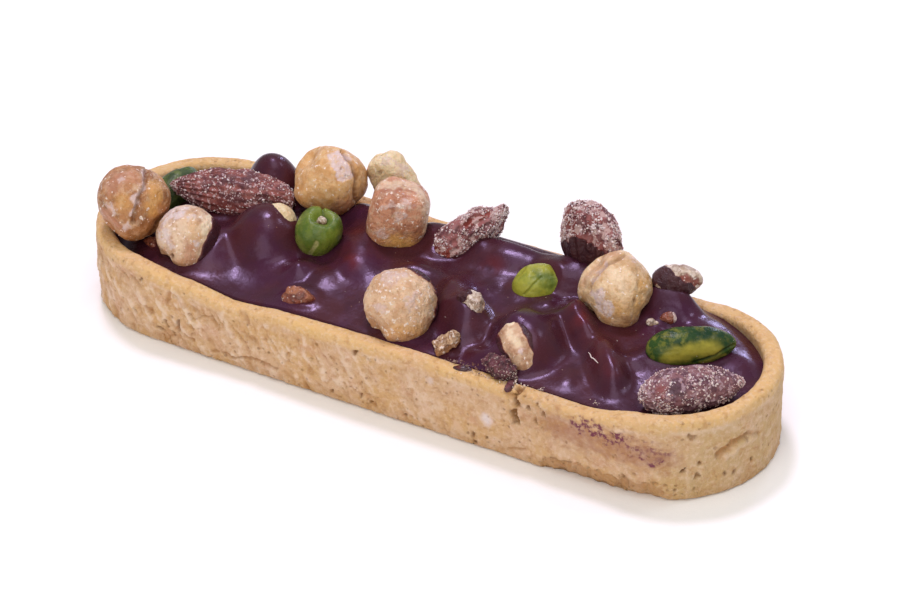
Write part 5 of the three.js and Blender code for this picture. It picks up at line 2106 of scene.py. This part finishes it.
@dataclass(frozen=True)
class RimCrumbs:
    """The loose crumbs beside the dark crumb mass, on the near rim."""

    spots: tuple[tuple[float, float, float, float, float], ...] = (
        # x, y, z, half size, tone from pale to dark
        (16.5, -18.3, 15.9, 0.42, 0.7),
        (17.6, -17.7, 16.0, 0.34, 0.9),
        (19.3, -18.6, 16.0, 0.5, 0.75),
        (20.3, -18.0, 16.2, 0.45, 0.95),
        (21.4, -18.6, 16.0, 0.5, 0.85),
        (20.9, -19.3, 15.8, 0.3, 0.5),
        (19.1, -20.3, 15.2, 0.28, 0.0),
        (22.4, -19.4, 15.8, 0.34, 0.8),
        (23.8, -19.5, 15.7, 0.3, 0.3),
        (27.0, -19.7, 15.7, 0.3, 0.1),
        (29.6, -18.4, 15.9, 0.45, 0.0),
        (29.1, -19.2, 15.8, 0.34, 0.05),
        (31.7, -18.7, 15.9, 0.3, 0.1),
        (33.2, -19.0, 15.8, 0.22, 0.4),
        (34.9, -18.4, 16.0, 0.3, 0.05),
        (37.4, -18.8, 15.8, 0.2, 0.3),
        (45.4, -16.9, 15.6, 0.3, 0.05),
        (14.6, -18.6, 15.8, 0.25, 0.6),
    )

    def build(self) -> bpy.types.Object:
        """Makes the crumbs and the sugar grains on the crumb mass as one piece."""
        rng = np.random.default_rng(41)
        table = np.array(self.spots)
        clusters = [table[:, :3] + rng.normal(size=(len(table), 3)) * [0.7, 0.35, 0.08] for _ in range(7)]
        place = np.concatenate([table[:, :3], *clusters])
        share = np.concatenate([np.ones(len(table)), np.full(7 * len(table), 0.5)])
        half = np.tile(table[:, 3], 8)[:, None] * share[:, None] * [1.0, 0.8, 0.7]
        crumbs = Shape.grains(place, unit(rng.normal(size=place.shape)), half, rng)
        crumbs.masks["tone"] = np.repeat(np.tile(table[:, 4], 8), 6)
        mass = next(extra for extra in EXTRAS if extra.name == "crumb_mass")
        points, normal, _ = mass.surface()
        pick = rng.choice(points.shape[0] * points.shape[1], 420)
        upward = normal.reshape(-1, 3)[pick]
        half = rng.uniform(0.08, 0.26, (len(pick), 1)) * [1.0, 0.7, 0.6]
        sugar = Shape.grains(points.reshape(-1, 3)[pick], upward, half, rng)
        sugar.masks["tone"] = np.repeat(rng.random(len(pick)) ** 0.7, 6)
        colours = {"first": ink(238, 222, 210), "second": ink(112, 70, 56)}
        finish = CrumbFinish("rim_crumb", roughness=0.5, bump_mm=0.03, **colours)
        return serve(Shape.joined([crumbs, sugar]), "rim_crumbs", finish, smooth=False)


# ---- the scene -----------------------------------------------------------------------------------


@dataclass(frozen=True)
class FloorFinish(Finish):
    """A plain pale table top."""

    shade: tuple = (0.95, 0.95, 0.95)

    def colour(self, bench: Bench) -> Feed:
        """The pale colour, a touch uneven."""
        cloud = bench.clouds(90.0, 0.3, 0.7)
        return bench.blend(cloud, self.shade, tuple(c * 0.985 for c in self.shade))


@dataclass(frozen=True)
class SoftLight:
    """A soft studio light that looks at the tartlet."""

    name: str
    place: tuple[float, float, float]  # metres
    size: float
    power: float
    tint: tuple[float, float, float] = (1, 1, 1)

    def build(self) -> None:
        """Makes the light."""
        data = bpy.data.lights.new(self.name, "AREA")
        data.shape = "DISK"
        data.size = self.size
        data.energy = self.power
        data.color = self.tint
        light = bpy.data.objects.new(self.name, data)
        back = unit(np.array(self.place))
        side = unit(np.cross([0, 0, 1], back))
        turned = np.eye(4)
        turned[:3, :3] = np.column_stack([side, np.cross(back, side), back])
        turned[:3, 3] = self.place
        light.matrix_world = Matrix(turned.tolist())
        bpy.context.scene.collection.objects.link(light)


@dataclass
class Studio:
    """The floor, the lights and the world round the tartlet."""

    floor_half: float = 3.0
    world_strength: float = 0.44
    lights: tuple[SoftLight, ...] = (
        SoftLight("window_above", (-0.35, 0.35, 1.3), 0.24, 8.0, (0.88, 0.79, 1.0)),
        SoftLight("window_low", (-0.15, 1.2, 0.42), 0.2, 2.2, (0.62, 0.62, 1.0)),
        SoftLight("overhead", (0.15, -0.25, 1.3), 0.9, 5.0, (1.0, 0.97, 0.94)),
        SoftLight("front_fill", (0.2, -1.2, 0.6), 1.0, 5.1, (1.0, 0.95, 0.9)),
        SoftLight("glint", (0.5, 0.5, 0.9), 0.15, 1.2, (0.9, 0.92, 1.0)),
    )

    def build(self) -> None:
        """Makes the floor, the lights and the world."""
        half = self.floor_half / MM
        corners = np.array([[-half, -half, 0], [half, -half, 0], [half, half, 0], [-half, half, 0]])
        plane = Shape(corners, np.array([[0, 1, 2, 3]]), np.zeros((0, 3), int))
        floor = bpy.data.objects.new("table_top", plane.mesh("table_top"))
        floor.data.materials.append(FloorFinish("table_top", roughness=0.9, bump_mm=0.01).material())
        bpy.context.scene.collection.objects.link(floor)
        for light in self.lights:
            light.build()
        world = bpy.data.worlds.new("studio")
        bpy.context.scene.world = world
        world.use_nodes = True
        background = world.node_tree.nodes["Background"]
        background.inputs["Color"].default_value = (1.0, 0.98, 0.96, 1.0)
        background.inputs["Strength"].default_value = self.world_strength
        bpy.context.scene.view_settings.view_transform = "Standard"


def main() -> None:
    """Builds the tartlet and the studio round it."""
    logging.basicConfig(level=logging.INFO, format="%(name)s %(message)s", stream=sys.stdout)
    VIEWER.camera()
    Studio().build()
    PastryCase().build()
    glaze = ChocolateGlaze()
    glaze.build()
    glaze.fibre()
    for nut in NUTS + EXTRAS:
        nut.build()
    ALMOND_SALT.build()
    NUT_CRUMBS.build()
    RimCrumbs().build()


if __name__ == "__main__":
    main()
